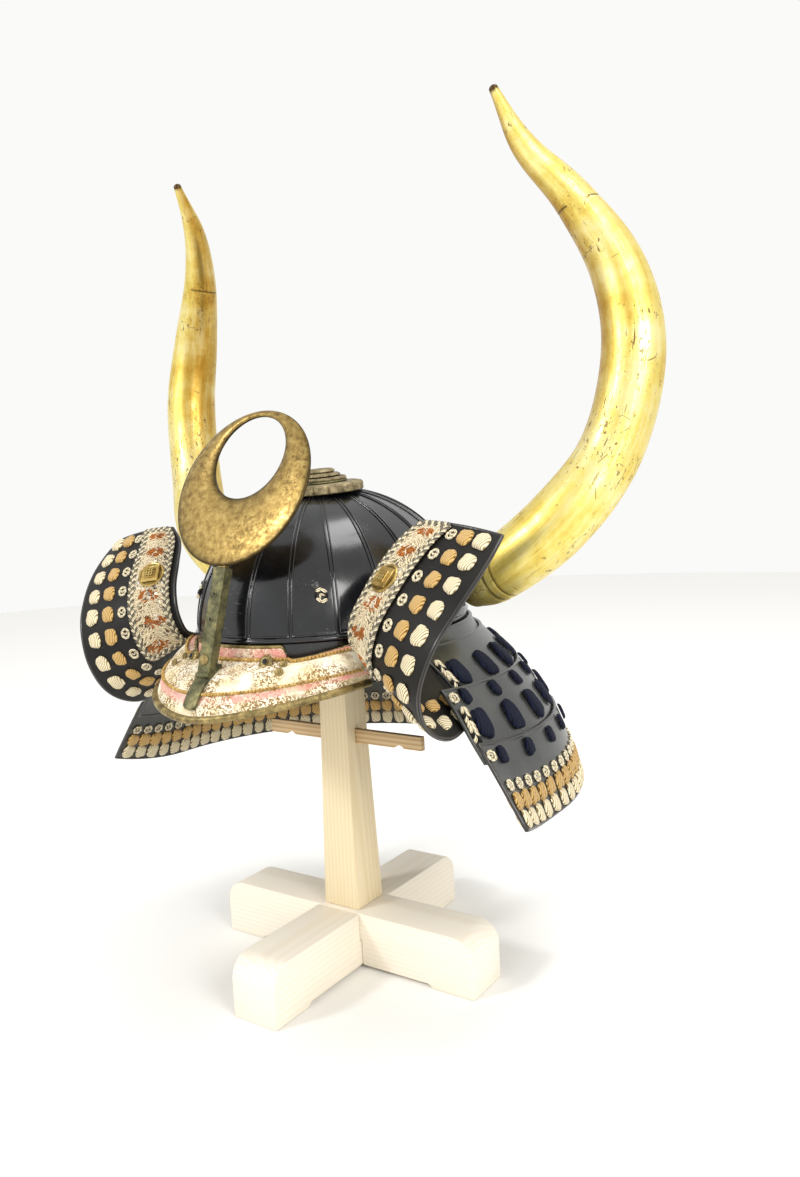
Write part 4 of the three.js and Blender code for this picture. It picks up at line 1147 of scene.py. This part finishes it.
# A plate's sheet and the bead along its edges
def makeLame(index):
    thickness = skirt["thickness"]
    margin = (thickness - skirt["sheet"]) / 2

    def insetGrid(surface):
        return gridOf(150, 10, lambda u, v: surface(insetShare(u, 0.004), insetShare(v, 0.02)))

    sheet = sheetMesh(f"lameSheet{index}", insetGrid(lameSurface(index, margin)),
                      insetGrid(lameSurface(index, thickness - margin)), lacquerPlateWithPaintedSheen)
    middle = lameSurface(index, thickness / 2)
    trim = skirt["bead"] / (middle(0.5, 1) - middle(0.5, 0)).length
    side = skirt["bead"] / pathLength(lambda u: middle(u, 0.5), 40)
    path = perimeter([(side, trim), (1 - side, trim), (1 - side, 1 - trim), (side, 1 - trim)],
                     (150, 8, 150, 8), lambda u, v: surfaceFrame(middle, u, v, -1)[:2])
    edging = drawAlong(f"lameBead{index}", [path], roundOutline(skirt["bead"], skirt["bead"]),
                       lacquerRim if index == 3 else lacquerPlateWithPaintedSheen, closed=True)
    return [sheet, edging]


# Sizes of the lacing's tabs, knots and pads, and their spacing along the plates
lacing = {"tabPitch": 40, "outerPitch": 15.8, "innerPitch": 13, "bigTab": (25, 17.5, 3.6),
          "smallTab": (13.5, 10.5, 2.8), "tan": (12.6, 11.6, 2.6), "cream": (13.6, 10.8, 2.6),
          "checked": (9.6, 9.6, 2.6), "endKnot": (11, 9.5, 3.4), "firstTab": 21, "edgeKnot": 9.5}


# Each end of a row has a checked knot with its first navy tab close beside it
def rowFrames(index, v):
    surface = lameSurface(index)
    length = pathLength(lambda u: surface(u, v), 60)
    first = (lacing["firstTab"] - lacing["tabPitch"] / 2) / length
    tabs = walk(lambda u: surface(u, v), lacing["tabPitch"], first, 1 - first)
    edge = lacing["edgeKnot"] / length
    return [[lameOuter(index, u, v) for u in shares] for shares in (tabs, (edge, 1 - edge))]


def makeNeckGuard():
    parts = [makeLame(index) for index in range(4)]
    print("neck guard plates made")
    navy = [[], [], [], []]
    checked = [[], [], [], []]
    pale = []
    for index, v in ((1, 0.38), (2, 0.475)):
        tabs, ends = rowFrames(index, v)
        navy[index] += tabSpots(tabs, lacing["bigTab"])
        for point, facing, along in ends:
            down = facing.cross(along).normalized()
            frames = [(point + down * (k - 3) * 3.9, facing, down) for k in range(7)]
            checked[index] += braidSpots(frames, 8.5, 3.2, 0.45, (0.0, 0.0, 1.0, 0.0), 7.0)
    for index, v in ((2, 0.125), (3, 0.15)):
        tabs, ends = rowFrames(index, v)
        navy[index] += tabSpots(tabs, lacing["smallTab"])
        checked[index] += knotSpots(ends, lacing["endKnot"])
    for place, pitch, tanSpots in ((lameOuter, lacing["outerPitch"], lobeSpots),
                                   (lameInner, lacing["innerPitch"], tabSpots)):
        shares = walk(lambda u: lameSurface(3)(u, 0.9), pitch, 0.006, 0.994, 600)
        checked[3] += knotSpots([place(3, u, 0.485) for u in shares], lacing["checked"])
        pale += tanSpots([place(3, u, 0.66) for u in shares], lacing["tan"], 1.0)
        pale += tabSpots([place(3, u, 0.86) for u in shares], lacing["cream"], 0.0)
    for index in range(4):
        if navy[index]:
            parts[index].append(setPads(f"navyTabs{index}", navy[index], silkNavy, 0.06, 0.03))
        if checked[index]:
            knots = setOnSpots(f"checkedKnots{index}", bead, checked[index], silkChecked, 0.1, 0.05)
            parts[index].append(knots)
        if index == 3:
            parts[index].append(setPads("palePads", pale, silkPale, 0.1, 0.06))
        dress(f"neckPlate{index + 1}", parts[index], f"lame_{index + 1}")


makeNeckGuard()
print("neck guard laced")


# Turned-back leaves, worked out on the wearer's left and mirrored.
# A row gives a place on the neck side, one on the outer side, and how far the leaf bulges there.

leaf = {"span": 201, "forward": 133, "foot": skirt["topZ"] - lames[1]["top"] * skirt["drop"], "rise": 98,
        "half": 1.3, "bulge": 5, "bead": 1.5, "columnPitch": 20, "checked": (10.5, 8.4, 3.0),
        "tan": (13, 10.6, 3.0), "cream": (13.8, 11.6, 3.2),
        "panel": (0.3, 0.975, 0.07, 0.43), "panelFloor": 1.6, "panelThick": 1.2, "disc": (0.68, 0.23)}
leafRows = ((0.498, 0.5, 0.06, 0.823, 0.655, -0.565, 0.2), (0.46, 0.605, 0.085, 0.826, 0.885, -0.42, 0.7),
            (0.438, 0.7, 0.14, 0.846, 0.99, -0.16, 1), (0.45, 0.737, 0.296, 0.9, 0.965, 0.163, 1),
            (0.492, 0.686, 0.51, 0.948, 0.865, 0.39, 1), (0.53, 0.594, 0.704, 0.984, 0.737, 0.59, 1),
            (0.582, 0.492, 0.88, 1, 0.6, 0.755, 0.8), (0.662, 0.436, 1, 1, 0.474, 0.888, 0.6))
panelTop = leaf["panelFloor"] + leaf["panelThick"]


def splitShare(share, last):
    place = max(0.0, min(1.0, share)) * last
    i = min(int(place), last - 1)
    return i, place - i


# Smooth curve through points, spaced by the root of their distances
def curvePoint(points, share):
    last = len(points) - 1
    i, t = splitShare(share, last)
    p1 = points[i]
    p2 = points[i + 1]
    p0 = points[i - 1] if i > 0 else points[0] * 2 - points[1]
    p3 = points[i + 2] if i + 2 <= last else points[last] * 2 - points[last - 1]
    d0, d1, d2 = (max((b - a).length_squared ** 0.25, 0.0001) for a, b in ((p0, p1), (p1, p2), (p2, p3)))
    out = ((p1 - p0) / d0 - (p2 - p0) / (d0 + d1) + (p2 - p1) / d1) * d1
    into = ((p2 - p1) / d1 - (p3 - p1) / (d1 + d2) + (p3 - p2) / d2) * d1
    return (p1 + out * t + (p2 * 3 - p1 * 3 - out * 2 - into) * t ** 2
            + (p1 * 2 - p2 * 2 + out + into) * t ** 3)


def curveAhead(points, share):
    return (curvePoint(points, share + 0.0001) - curvePoint(points, share - 0.0001)).normalized()


def leafPoints(drop, first):
    start = lamePoint(1, 1, drop, 1.5) - Vector((0, 0.3, 0))
    return [start] + [Vector((row[first] * leaf["span"], -row[first + 1] * leaf["forward"],
                              leaf["foot"] + row[first + 2] * leaf["rise"])) for row in leafRows]


leafNeck = leafPoints(lames[1]["top"], 0)
leafEdge = leafPoints(lames[1]["bottom"], 3)
leafBulges = [0] + [row[6] * leaf["bulge"] for row in leafRows]


def leafSheet(u, v):
    neck = curvePoint(leafNeck, u)
    across = curvePoint(leafEdge, u) - neck
    ahead = (curveAhead(leafNeck, u) + curveAhead(leafEdge, u)) / 2
    i, part = splitShare(u, len(leafBulges) - 1)
    bulge = leafBulges[i] + (leafBulges[i + 1] - leafBulges[i]) * part
    return neck + across * v + across.cross(ahead).normalized() * 4 * v * (1 - v) * bulge


def onLeaf(u, v, height=0.0, side=1):
    point, facing, along = surfaceFrame(leafSheet, u, v, side)
    return point + facing * height, facing, along


def panelBraid():
    u0, u1, v0, v1 = leaf["panel"]
    rows = []
    for v in (v0 + 0.012, v1 - 0.012):
        rows.append([onLeaf(u, v, panelTop - 0.2)
                     for u in walk(lambda u: leafSheet(u, v), 3.0, u0 + 0.005, u1 - 0.012, 500)])
    for u in (u0 + 0.01, u1 - 0.008):
        frames = [onLeaf(u, v, panelTop - 0.2) for v in walk(lambda v: leafSheet(u, v), 3.0, v0, v1, 200)]
        rows.append([(point, facing, facing.cross(along).normalized()) for point, facing, along in frames])
    return [spot for frames in rows for spot in braidSpots(frames, 4.8, 2.4, 0.7, (0.0, 0.8), 5.4)]


# Short curling threads that cover the leather between the braids, rust red in patches along its middle
def tuftSpots():
    tufts = 980
    fields = 7
    u0, u1, v0, v1 = leaf["panel"]
    discU, discV = leaf["disc"]
    chance = random.Random(23)
    rust = [(u0 + (u1 - u0) * (k + 0.5) / 6 + chance.uniform(-0.01, 0.01), 0.25 + chance.uniform(-0.04, 0.04))
            for k in range(fields)]
    spots = []
    for _ in range(tufts):
        u = chance.uniform(u0 + 0.012, u1 - 0.015)
        v = chance.uniform(v0 + 0.045, v1 - 0.045)
        if abs(u - discU) < 0.036 and abs(v - discV) < 0.11:
            continue
        point, facing, along = onLeaf(u, v, panelTop + chance.uniform(-0.1, 0.5))
        side = 1 if v > (v0 + v1) / 2 else -1
        turned = Matrix.Rotation(side * chance.gauss(0.9, 0.5), 3, facing) @ along
        near = any(((u - a) * 330) ** 2 + ((v - b) * 95) ** 2 < 80 for a, b in rust)
        spots.append((point, facing, turned, (chance.uniform(3.6, 6.6), 1.3, 1.4),
                      1.0 if near and chance.random() < 0.8 else chance.uniform(0, 0.12)))
    return spots


# Round gilt disc with a raised lozenge and a hatched square; its low grounds are darker
def makeDisc(sign, word):
    point, facing, along = onLeaf(*leaf["disc"], panelTop + 0.3)
    side = -facing.cross(along)

    def at(x, y, z):
        return point + side * x + along * y + facing * z

    def solid(name, loops, sharp=20, wear=None):
        marks = {"wear": wear} if wear else None
        return loopMesh(name, mirrorGrid(loops, sign), copperGilt, sharp=sharp, marks=marks)

    def block(half, low, high, recessed):
        outline = ((half, low), (half, high - 0.5), (half - 0.35, high), (half * 0.85, high + 0.05))
        loops = [[at(a * reach, b * reach, height) for a, b in squareCorners] for reach, height in outline]
        return solid("discBlock", loops, wear=[0.0] * 12 + [recessed] * 4)

    profile = ((0.2, 0.0), (11.6, 0.0), (12.0, 0.5), (11.7, 1.1), (11.1, 1.5), (10.4, 1.35), (9.8, 0.9),
               (9.2, 0.95), (0.2, 1.25))
    around = 48
    pieces = [solid("discFace", [[at(r * c, r * s, z) for c, s in circle(around)] for r, z in profile], 35,
                    [0.7 if r < 10 else 0.0 for r, _ in profile for _ in range(around)]),
              block(7.9, 0.9, 3.0, 0.0), block(4.7, 2.8, 4.2, 0.8)]
    for step in (-2.5, 0, 2.5):
        for flip in (0, 1):
            loops = []
            for reach, height in ((0.5, 4.0), (0.5, 4.8), (0.25, 5.0)):
                corners = [(step + a * reach, b * 4.2) for a, b in squareCorners]
                loops.append([at(y, x, height) if flip else at(x, y, height) for x, y in corners])
            pieces.append(solid("discHatch", loops))
    dress(f"leafDisc_{word}", pieces, f"turnback_disc_{word}")


def makeLeaf(sign, word):
    half = leaf["half"]
    front, back = (mirrorGrid(raisedGrid(leafSheet, 96, 18, height), sign)
                   for height in (half - 0.1, 0.1 - half))
    sheet = sheetMesh("leafSheet", front, back, lacquerLeaf)
    path = perimeter([(0.0, 0.012), (0.995, 0.012), (0.995, 0.988), (0.0, 0.988)], (110, 22, 110, 22),
                     lambda u, v: onLeaf(u, v)[:2])
    outline = roundOutline(leaf["bead"], leaf["bead"])
    edging = drawAlong("leafEdging", [mirrorGrid(path, sign)], outline, lacquerRim, closed=True)
    shares = walk(lambda u: leafSheet(u, 0.82), leaf["columnPitch"], 0.0, 0.99, 500)
    checked = knotSpots([onLeaf(u, 0.52, half - 0.2) for u in shares], leaf["checked"])
    rows = ((0.67, leaf["tan"], 1.0), (0.845, leaf["cream"], 0.0))
    pale = [spot for v, size, shade in rows
            for spot in tabSpots([onLeaf(u, v, half - 0.2) for u in shares], size, shade)]
    pale += [spot for u in shares if 0.02 < u < 0.2 for v, size, shade in rows
             for spot in tabSpots([onLeaf(u, v, half - 0.2, -1)], size, shade)]
    pale = [(p, f, f.cross(a).normalized(), size, shade) for p, f, a, size, shade in pale]
    knots = setOnSpots("leafKnots", bead, mirrorSpots(checked, sign), silkChecked, 0.1, 0.05)
    padsMade = setPads("leafPads", mirrorSpots(pale, sign), silkPale, 0.12, 0.06)
    dress(f"turnedLeaf_{word}", [sheet, edging, knots, padsMade], f"turnback_{word}")

    u0, u1, v0, v1 = leaf["panel"]

    def panelPoint(height):
        return lambda u, v: onLeaf(u0 + u * (u1 - u0), v0 + v * (v1 - v0), height)[0]

    top, floor = (mirrorGrid(gridOf(60, 14, panelPoint(height)), sign)
                  for height in (panelTop, leaf["panelFloor"]))
    panel = sheetMesh("leafPanel", top, floor, leafLeather)
    braid = setOnSpots("panelBraid", bead, mirrorSpots(panelBraid(), sign), silkChecked)
    tufts = setOnSpots("panelTufts", bead, mirrorSpots(tuftSpots(), sign), silkTuft)
    dress(f"leafPanel_{word}", [panel, braid, tufts], f"turnback_leather_{word}")
    makeDisc(sign, word)


for sign, word in sides:
    makeLeaf(sign, word)
print("leaves made")


# Crest socket: a flat bar up to the crest, folded at the visor into a tongue that follows it

socket = {"width": 12, "depth": 9, "footY": -156.5, "footZ": 292, "lean": 18.3, "headZ": 362.5,
          "tongueFrom": 0.24, "tongueTo": 0.93, "tongueThick": 2.6}
socketLean = math.radians(socket["lean"])
socketTurn = Matrix.Rotation(-socketLean, 3, "X")
socketLength = (socket["headZ"] - socket["footZ"]) / math.cos(socketLean)


def onSocket(x, y, z):
    return socketTurn @ Vector((x, y, z)) + Vector((0, socket["footY"], socket["footZ"]))


def socketBar(halfX, low, high, front, back, soft=0.8):
    loops = []
    for inset, height in ((soft, low), (0, low + soft), (0, high - soft), (soft, high)):
        x = halfX - inset
        y0 = front + inset
        y1 = back - inset
        loops.append([onSocket(a, b, height) for a, b in (
            (-x + soft, y0), (x - soft, y0), (x, y0 + soft), (x, y1 - soft), (x - soft, y1), (-x + soft, y1),
            (-x, y1 - soft), (-x, y0 + soft))])
    return loopMesh("socketBar", loops, brassPatina, sharp=25)


def makeSocket():
    half = socket["width"] / 2
    deep = socket["depth"] / 2
    length = socketLength
    pieces = [socketBar(half, -9.0, length - 0.2, -deep, deep),
              socketBar(half + 0.05, 8.5, 11.0, -deep - 0.1, deep + 0.1, 0.5),
              socketBar(half + 0.5, -9.5, -5.0, -deep - 1.6, deep, 1.2),
              socketBar(half + 0.1, length - 6.5, length, -deep - 0.1, deep + 0.1, 0.6)]

    def ringLoops(centre, profile):
        return [[onSocket(radius * c, -deep - out, centre + radius * s) for c, s in circle(20)]
                for radius, out in profile]

    for height in (length * 0.72, length * 0.46):
        eyelet = ((2.1, -0.1), (2.1, 0.35), (1.6, 0.5), (1.2, 0.4), (1.15, -0.05))
        pieces.append(loopMesh("socketEyelet", ringLoops(height, eyelet), brassPatina, closed=True))
        # A short black plug in each eyelet stands for the hole through the bar: painted shade
        pieces.append(loopMesh("socketHole", ringLoops(height, ((1.25, -0.3), (1.25, 0.12))), lacquerLeaf))

    def tongueGrid(height):
        def tonguePoint(u, v):
            across = socket["tongueFrom"] + u * (socket["tongueTo"] - socket["tongueFrom"])
            taper = math.sqrt(max(0.3, 1 - max(0, (u - 0.93) / 0.07) ** 2)) * 1.08
            point, facing, _ = surfaceFrame(visorSheet, 0.5, across, visorSide)
            drop = 0.5 if abs(2 * v - 1) > 0.95 and height > 1 else 0
            place = point + facing * (visor["thickness"] / 2 + visor["gap"] + height - drop)
            place.x += (v - 0.5) * socket["width"] * taper
            return place

        return gridOf(40, 6, tonguePoint)

    tongue = sheetMesh("socketTongue", tongueGrid(socket["tongueThick"]), tongueGrid(0.1), brassPatina,
                       sharp=30)
    dress("crestSocket", pieces + [tongue], "crest_socket")
    spot = (onSocket(0, -deep, 4.2), (socketTurn @ Vector((0, -1, 0))).normalized(),
            (socketTurn @ upward).normalized(), (4.2, 4.2, 2.2), 0.0)
    rivet = setOnSpots("socketRivet", plainHead, [spot], brassRim)
    dress("socketRivet", [rivet], "socket_rivet")


# Ring crest: widest at its foot, ridged near the hole and thin at both edges

crest = {"radius": 65.5, "holeRadius": 35.3, "holeRise": 25, "sideShift": -2, "lean": 27, "footY": -134.5,
         "footZ": 363.9, "edge": 1.1, "ridge": 3.6}


def makeCrest():
    steps = 168
    centre = crest["radius"] + crest["holeRise"]
    edge = crest["edge"]
    ridge = crest["ridge"]
    outs = [(0.0, 0.9 * edge, 0.9 * edge), (0.03, 1.5 * edge, 1.4 * edge), (0.1, 0.66 * ridge, 0.5 * ridge),
            (0.2, 0.9 * ridge, 0.64 * ridge), (0.3, ridge, 0.7 * ridge), (0.42, 0.99 * ridge, 0.71 * ridge),
            (0.58, 0.93 * ridge, 0.7 * ridge), (0.72, 0.84 * ridge, 0.68 * ridge),
            (0.86, 0.6 * ridge, 0.5 * ridge),
            (0.95, 1.25 * edge, 1.2 * edge), (0.985, edge, edge), (1.0, 0.5 * edge, 0.5 * edge)]
    lean = Matrix.Rotation(-math.radians(crest["lean"]), 3, "X")
    loops = []
    for dirZ, dirX in circle(steps):
        outer = -crest["holeRise"] * dirZ + math.sqrt(crest["radius"] ** 2 - (crest["holeRise"] * dirX) ** 2)
        width = outer - crest["holeRadius"]
        thin = min(1, 0.45 + width / 60)

        def at(out, y):
            reach = crest["holeRadius"] + width * out
            point = lean @ Vector((dirX * reach + crest["sideShift"], y, centre + dirZ * reach))
            return point + Vector((0, crest["footY"], crest["footZ"]))

        loops.append([at(out, -front * thin) for out, front, _ in outs]
                     + [at(out, back * thin) for out, _, back in reversed(outs)])
    rubbed = [max(smoothStep(out, 0.9, 1.0), 1 - smoothStep(out, 0.0, 0.08)) * 0.85 for out, _, _ in outs]
    ring = loopMesh("ringCrest", loops, crestGold, closed=True, sharp=50,
                    marks={"wear": (rubbed + rubbed[::-1]) * steps})
    tang = loopMesh("crestTang", [[onSocket(a * 3.6, b * 2.0, height) for a, b in squareCorners]
                                  for height in (socketLength - 8, socketLength + 5)], crestGold)
    dress("crestRing", [ring, tang], "crest_ring")


makeSocket()
makeCrest()
print("crest made")


# Horns, and the short seats their feet meet; a row gives a place on the horn's axis and its radius

horn = {"spread": 243, "sweep": 83, "height": 400.5, "radius": 27.3, "base": 305, "length": 0.62,
        "round": 2.4}
hornRows = ((0.477, 0.45, 0.068, 0.74), (0.575, 0.375, 0.0925, 0.91), (0.788, 0.474, 0.1865, 1),
            (0.937, 0.8, 0.3235, 0.93), (1, 0.978, 0.52, 0.91), (0.951, 1, 0.675, 0.8),
            (0.835, 0.807, 0.81, 0.575),
            (0.728, 0.461, 0.906, 0.37), (0.687, 0.119, 1, 0.13))
hornPath = [Vector((x * horn["spread"], y * horn["sweep"], horn["base"] + z * horn["height"]))
            for x, y, z, _ in hornRows]


def hornFrame(share):
    ahead = curveAhead(hornPath, share)
    aside = Vector((0, 1, 0)).cross(ahead).normalized()
    return curvePoint(hornPath, share), ahead, aside, ahead.cross(aside)


def hornRadius(share):
    radii = [row[3] * horn["radius"] for row in hornRows]
    last = len(radii) - 1
    i, t = splitShare(share, last)
    r0, r1, r2, r3 = radii[max(i - 1, 0)], radii[i], radii[i + 1], radii[min(i + 2, last)]
    m1 = (r2 - r0) / 2
    m2 = (r3 - r1) / 2
    return (2 * r1 - 2 * r2 + m1 + m2) * t ** 3 + (3 * r2 - 3 * r1 - 2 * m1 - m2) * t ** 2 + m1 * t + r1


# Two seams round the foot and one short one higher up
def hornGroove(share, slant, turn):
    groove = 0.0
    for line, depth in ((0.142, 0.6), (0.158, 0.35)):
        groove += depth * math.exp(-((slant - line) / 0.0022) ** 2)
    leaned = share - 0.012 * math.cos(turn + 2.2)
    return groove + 0.5 * math.exp(-((leaned - 0.735) / 0.0018) ** 2) * (math.sin(turn * 2 + 1) > -0.4)


# Rows lie close together near the seams; the foot is rounded and the tip closed by a few more
def makeHorn(sign, word):
    around = 64
    footRows = 4
    tipRows = 5
    shares = sorted([i / 150 for i in range(150) if not (18 < i < 27 or 106 < i < 114)]
                    + [0.1255 + 0.0011 * k for k in range(45)] + [0.7155 + 0.0011 * k for k in range(36)])
    last = len(shares) - 1
    chance = random.Random(11)
    lumps = [(chance.uniform(0.3, 1.1), chance.uniform(2, 14), chance.uniform(0, 6.3)) for _ in range(5)]
    # inner points to the horn's inner, lower side, where the amber painted shade goes
    inner = Vector((-0.86, -0.3, -0.35))
    soft = horn["round"]
    loops = []
    wear = []
    deep = []
    flow = []
    for i in range(-footRows, last + tipRows + 1):
        share = shares[max(0, min(last, i))]
        centre, ahead, aside, other = hornFrame(share)
        radius = hornRadius(share)
        swell = 1.0
        if i < 0:
            turn = -i / footRows * math.pi / 2
            centre = centre + ahead * (soft * (1 - math.sin(turn)))
            swell = (radius - soft + soft * math.cos(turn)) / radius if i > -footRows else 0.6
        if i > last:
            turn = (i - last) / tipRows * math.pi / 2
            centre = centre + ahead * ((hornPath[-1] - centre).length * math.sin(turn))
            swell = max(0.08, math.cos(turn))
        loops.append([])
        for j, (c, s) in enumerate(circle(around)):
            turn = fullTurn * j / around
            lump = sum(a * math.sin(k * share * 3 + turn * (1 + n % 2) + p)
                       for n, (a, k, p) in enumerate(lumps))
            slant = share + 0.016 * math.cos(turn + 0.6)
            groove = hornGroove(share, slant, turn)
            reach = radius * swell * (1 + 0.0022 * lump) - groove * swell - 0.25
            loops[-1].append(centre + aside * reach * c + other * reach * s)
            foot = 0.3 * (1 - smoothStep(slant, 0.03, 0.142)) if slant < 0.142 else 0.0
            wear.append(max(foot, smoothStep(share, 0.986, 0.9925), 0.75 * smoothStep(groove, 0.1, 0.3)))
            # deep: how far each point faces that side, the weight of the amber painted shade
            deep.append(smoothStep((aside * c + other * s).dot(inner), 0.2, 0.95))
            flow += [share * horn["length"], reach * c * mm, reach * s * mm]
    name = f"horn_{word}_gilt"
    marks = {"wear": wear, "deep": deep, "flow": flow}
    piece = loopMesh(name, mirrorGrid(loops, sign), leafGold, sharp=60, marks=marks)
    dress(name, [piece], f"horn_{word}")

    centre, ahead, aside, other = hornFrame(0.0)
    loops = [[centre - ahead * back + aside * radius * c + other * radius * s for c, s in circle(40)]
             for radius, back in ((8.8, 0.3), (9.6, 0.6), (10.0, 1.5), (10.0, 12.0), (10.0, 26.0))]
    seat = loopMesh(f"hornSeat_{word}", mirrorGrid(loops, sign), lacquerLeaf, sharp=30)
    dress(f"hornSeat_{word}", [seat], f"horn_seat_{word}")


for sign, word in sides:
    makeHorn(sign, word)
print("horns made")


# Black stud on each side of the bowl, and the cord knotted under it

def makeBowlStud(sign, word):
    turn, climb = math.radians(37.5), math.radians(23)
    knotTurn, knotClimb = math.radians(39.6), math.radians(18.6)
    point = outerBowl(turn, climb, -0.2)
    facing = bowlFacing(turn, climb)
    along = (upward - facing * facing.z).normalized()
    knotAt = outerBowl(knotTurn, knotClimb)
    knotFacing = bowlFacing(knotTurn, knotClimb)
    down = (knotAt - point).normalized()
    across = knotFacing.cross(down).normalized()
    cords = knotSpots([(knotAt + knotFacing * 0.6, knotFacing, down)], (13, 10.5, 3.6))
    for k in range(4):
        cords.append((point + down * (2.8 + k * 1.1) + facing * 0.7, facing,
                      (down + across * (0.8 if k % 2 else -0.8)).normalized(), (3.2, 1.6, 1.6), float(k % 2)))
    for k in (1, 4):
        cords[k] = cords[k][:4] + (1.0,)
    spot = (point, facing, along, (3.2, 3.2, 3.2), 0.0)
    stud = setOnSpots("studHead", plainHead, mirrorSpots([spot], sign), lacquerPlateWithPaintedSheen)
    knot = setOnSpots("studKnot", bead, mirrorSpots(cords, sign), silkChecked, 0.1, 0.05)
    dress(f"bowlStud_{word}", [stud, knot], f"bowl_stud_{word}")


for sign, word in sides:
    makeBowlStud(sign, word)
print("studs made")


# Floor, sky and lights

def makeFloor():
    count = 96
    mesh = bpy.data.meshes.new("floor")
    mesh.from_pydata([Vector((3.2 * c, 3.2 * s, 0)) for c, s in circle(count)], [], [tuple(range(count))])
    material, _ = newMaterial("paperFloor")
    mesh.materials.append(shaded(material, Base_Color="#f1f0ed", Roughness=0.9, Specular_IOR_Level=0.2))
    linkObject("floor", mesh)


def addLamp(name, place, target, size, power, colour=(1, 1, 1)):
    data = bpy.data.lights.new(name, "AREA")
    data.shape = "DISK"
    data.size = size
    data.energy = power
    data.color = colour
    lamp = linkObject(name, data)
    lamp.location = place
    lamp.rotation_euler = (Vector(target) - Vector(place)).to_track_quat("-Z", "Y").to_euler()


def makeLight():
    world = bpy.data.worlds.new("paperSky")
    world.use_nodes = True
    background = world.node_tree.nodes["Background"]
    background.inputs["Color"].default_value = (0.985, 0.985, 0.975, 1.0)
    background.inputs["Strength"].default_value = 0.97
    scene.world = world
    addLamp("windowLight", (-0.9, -1.7, 1.5), (0, 0, 0.4), 0.4, 19, (0.99, 0.99, 1.0))
    addLamp("keyLight", (1.75, -0.75, 1.25), (0.1, 0, 0.45), 1.0, 22, (1.0, 0.99, 0.96))
    addLamp("topLight", (0.5, 0.3, 2.1), (0, 0, 0.3), 0.9, 12)
    scene.view_settings.view_transform = "Standard"


makeFloor()
makeLight()
print("light made")

for template in (*pads, bead, flowerHead, plainHead):
    bpy.data.objects.remove(template)
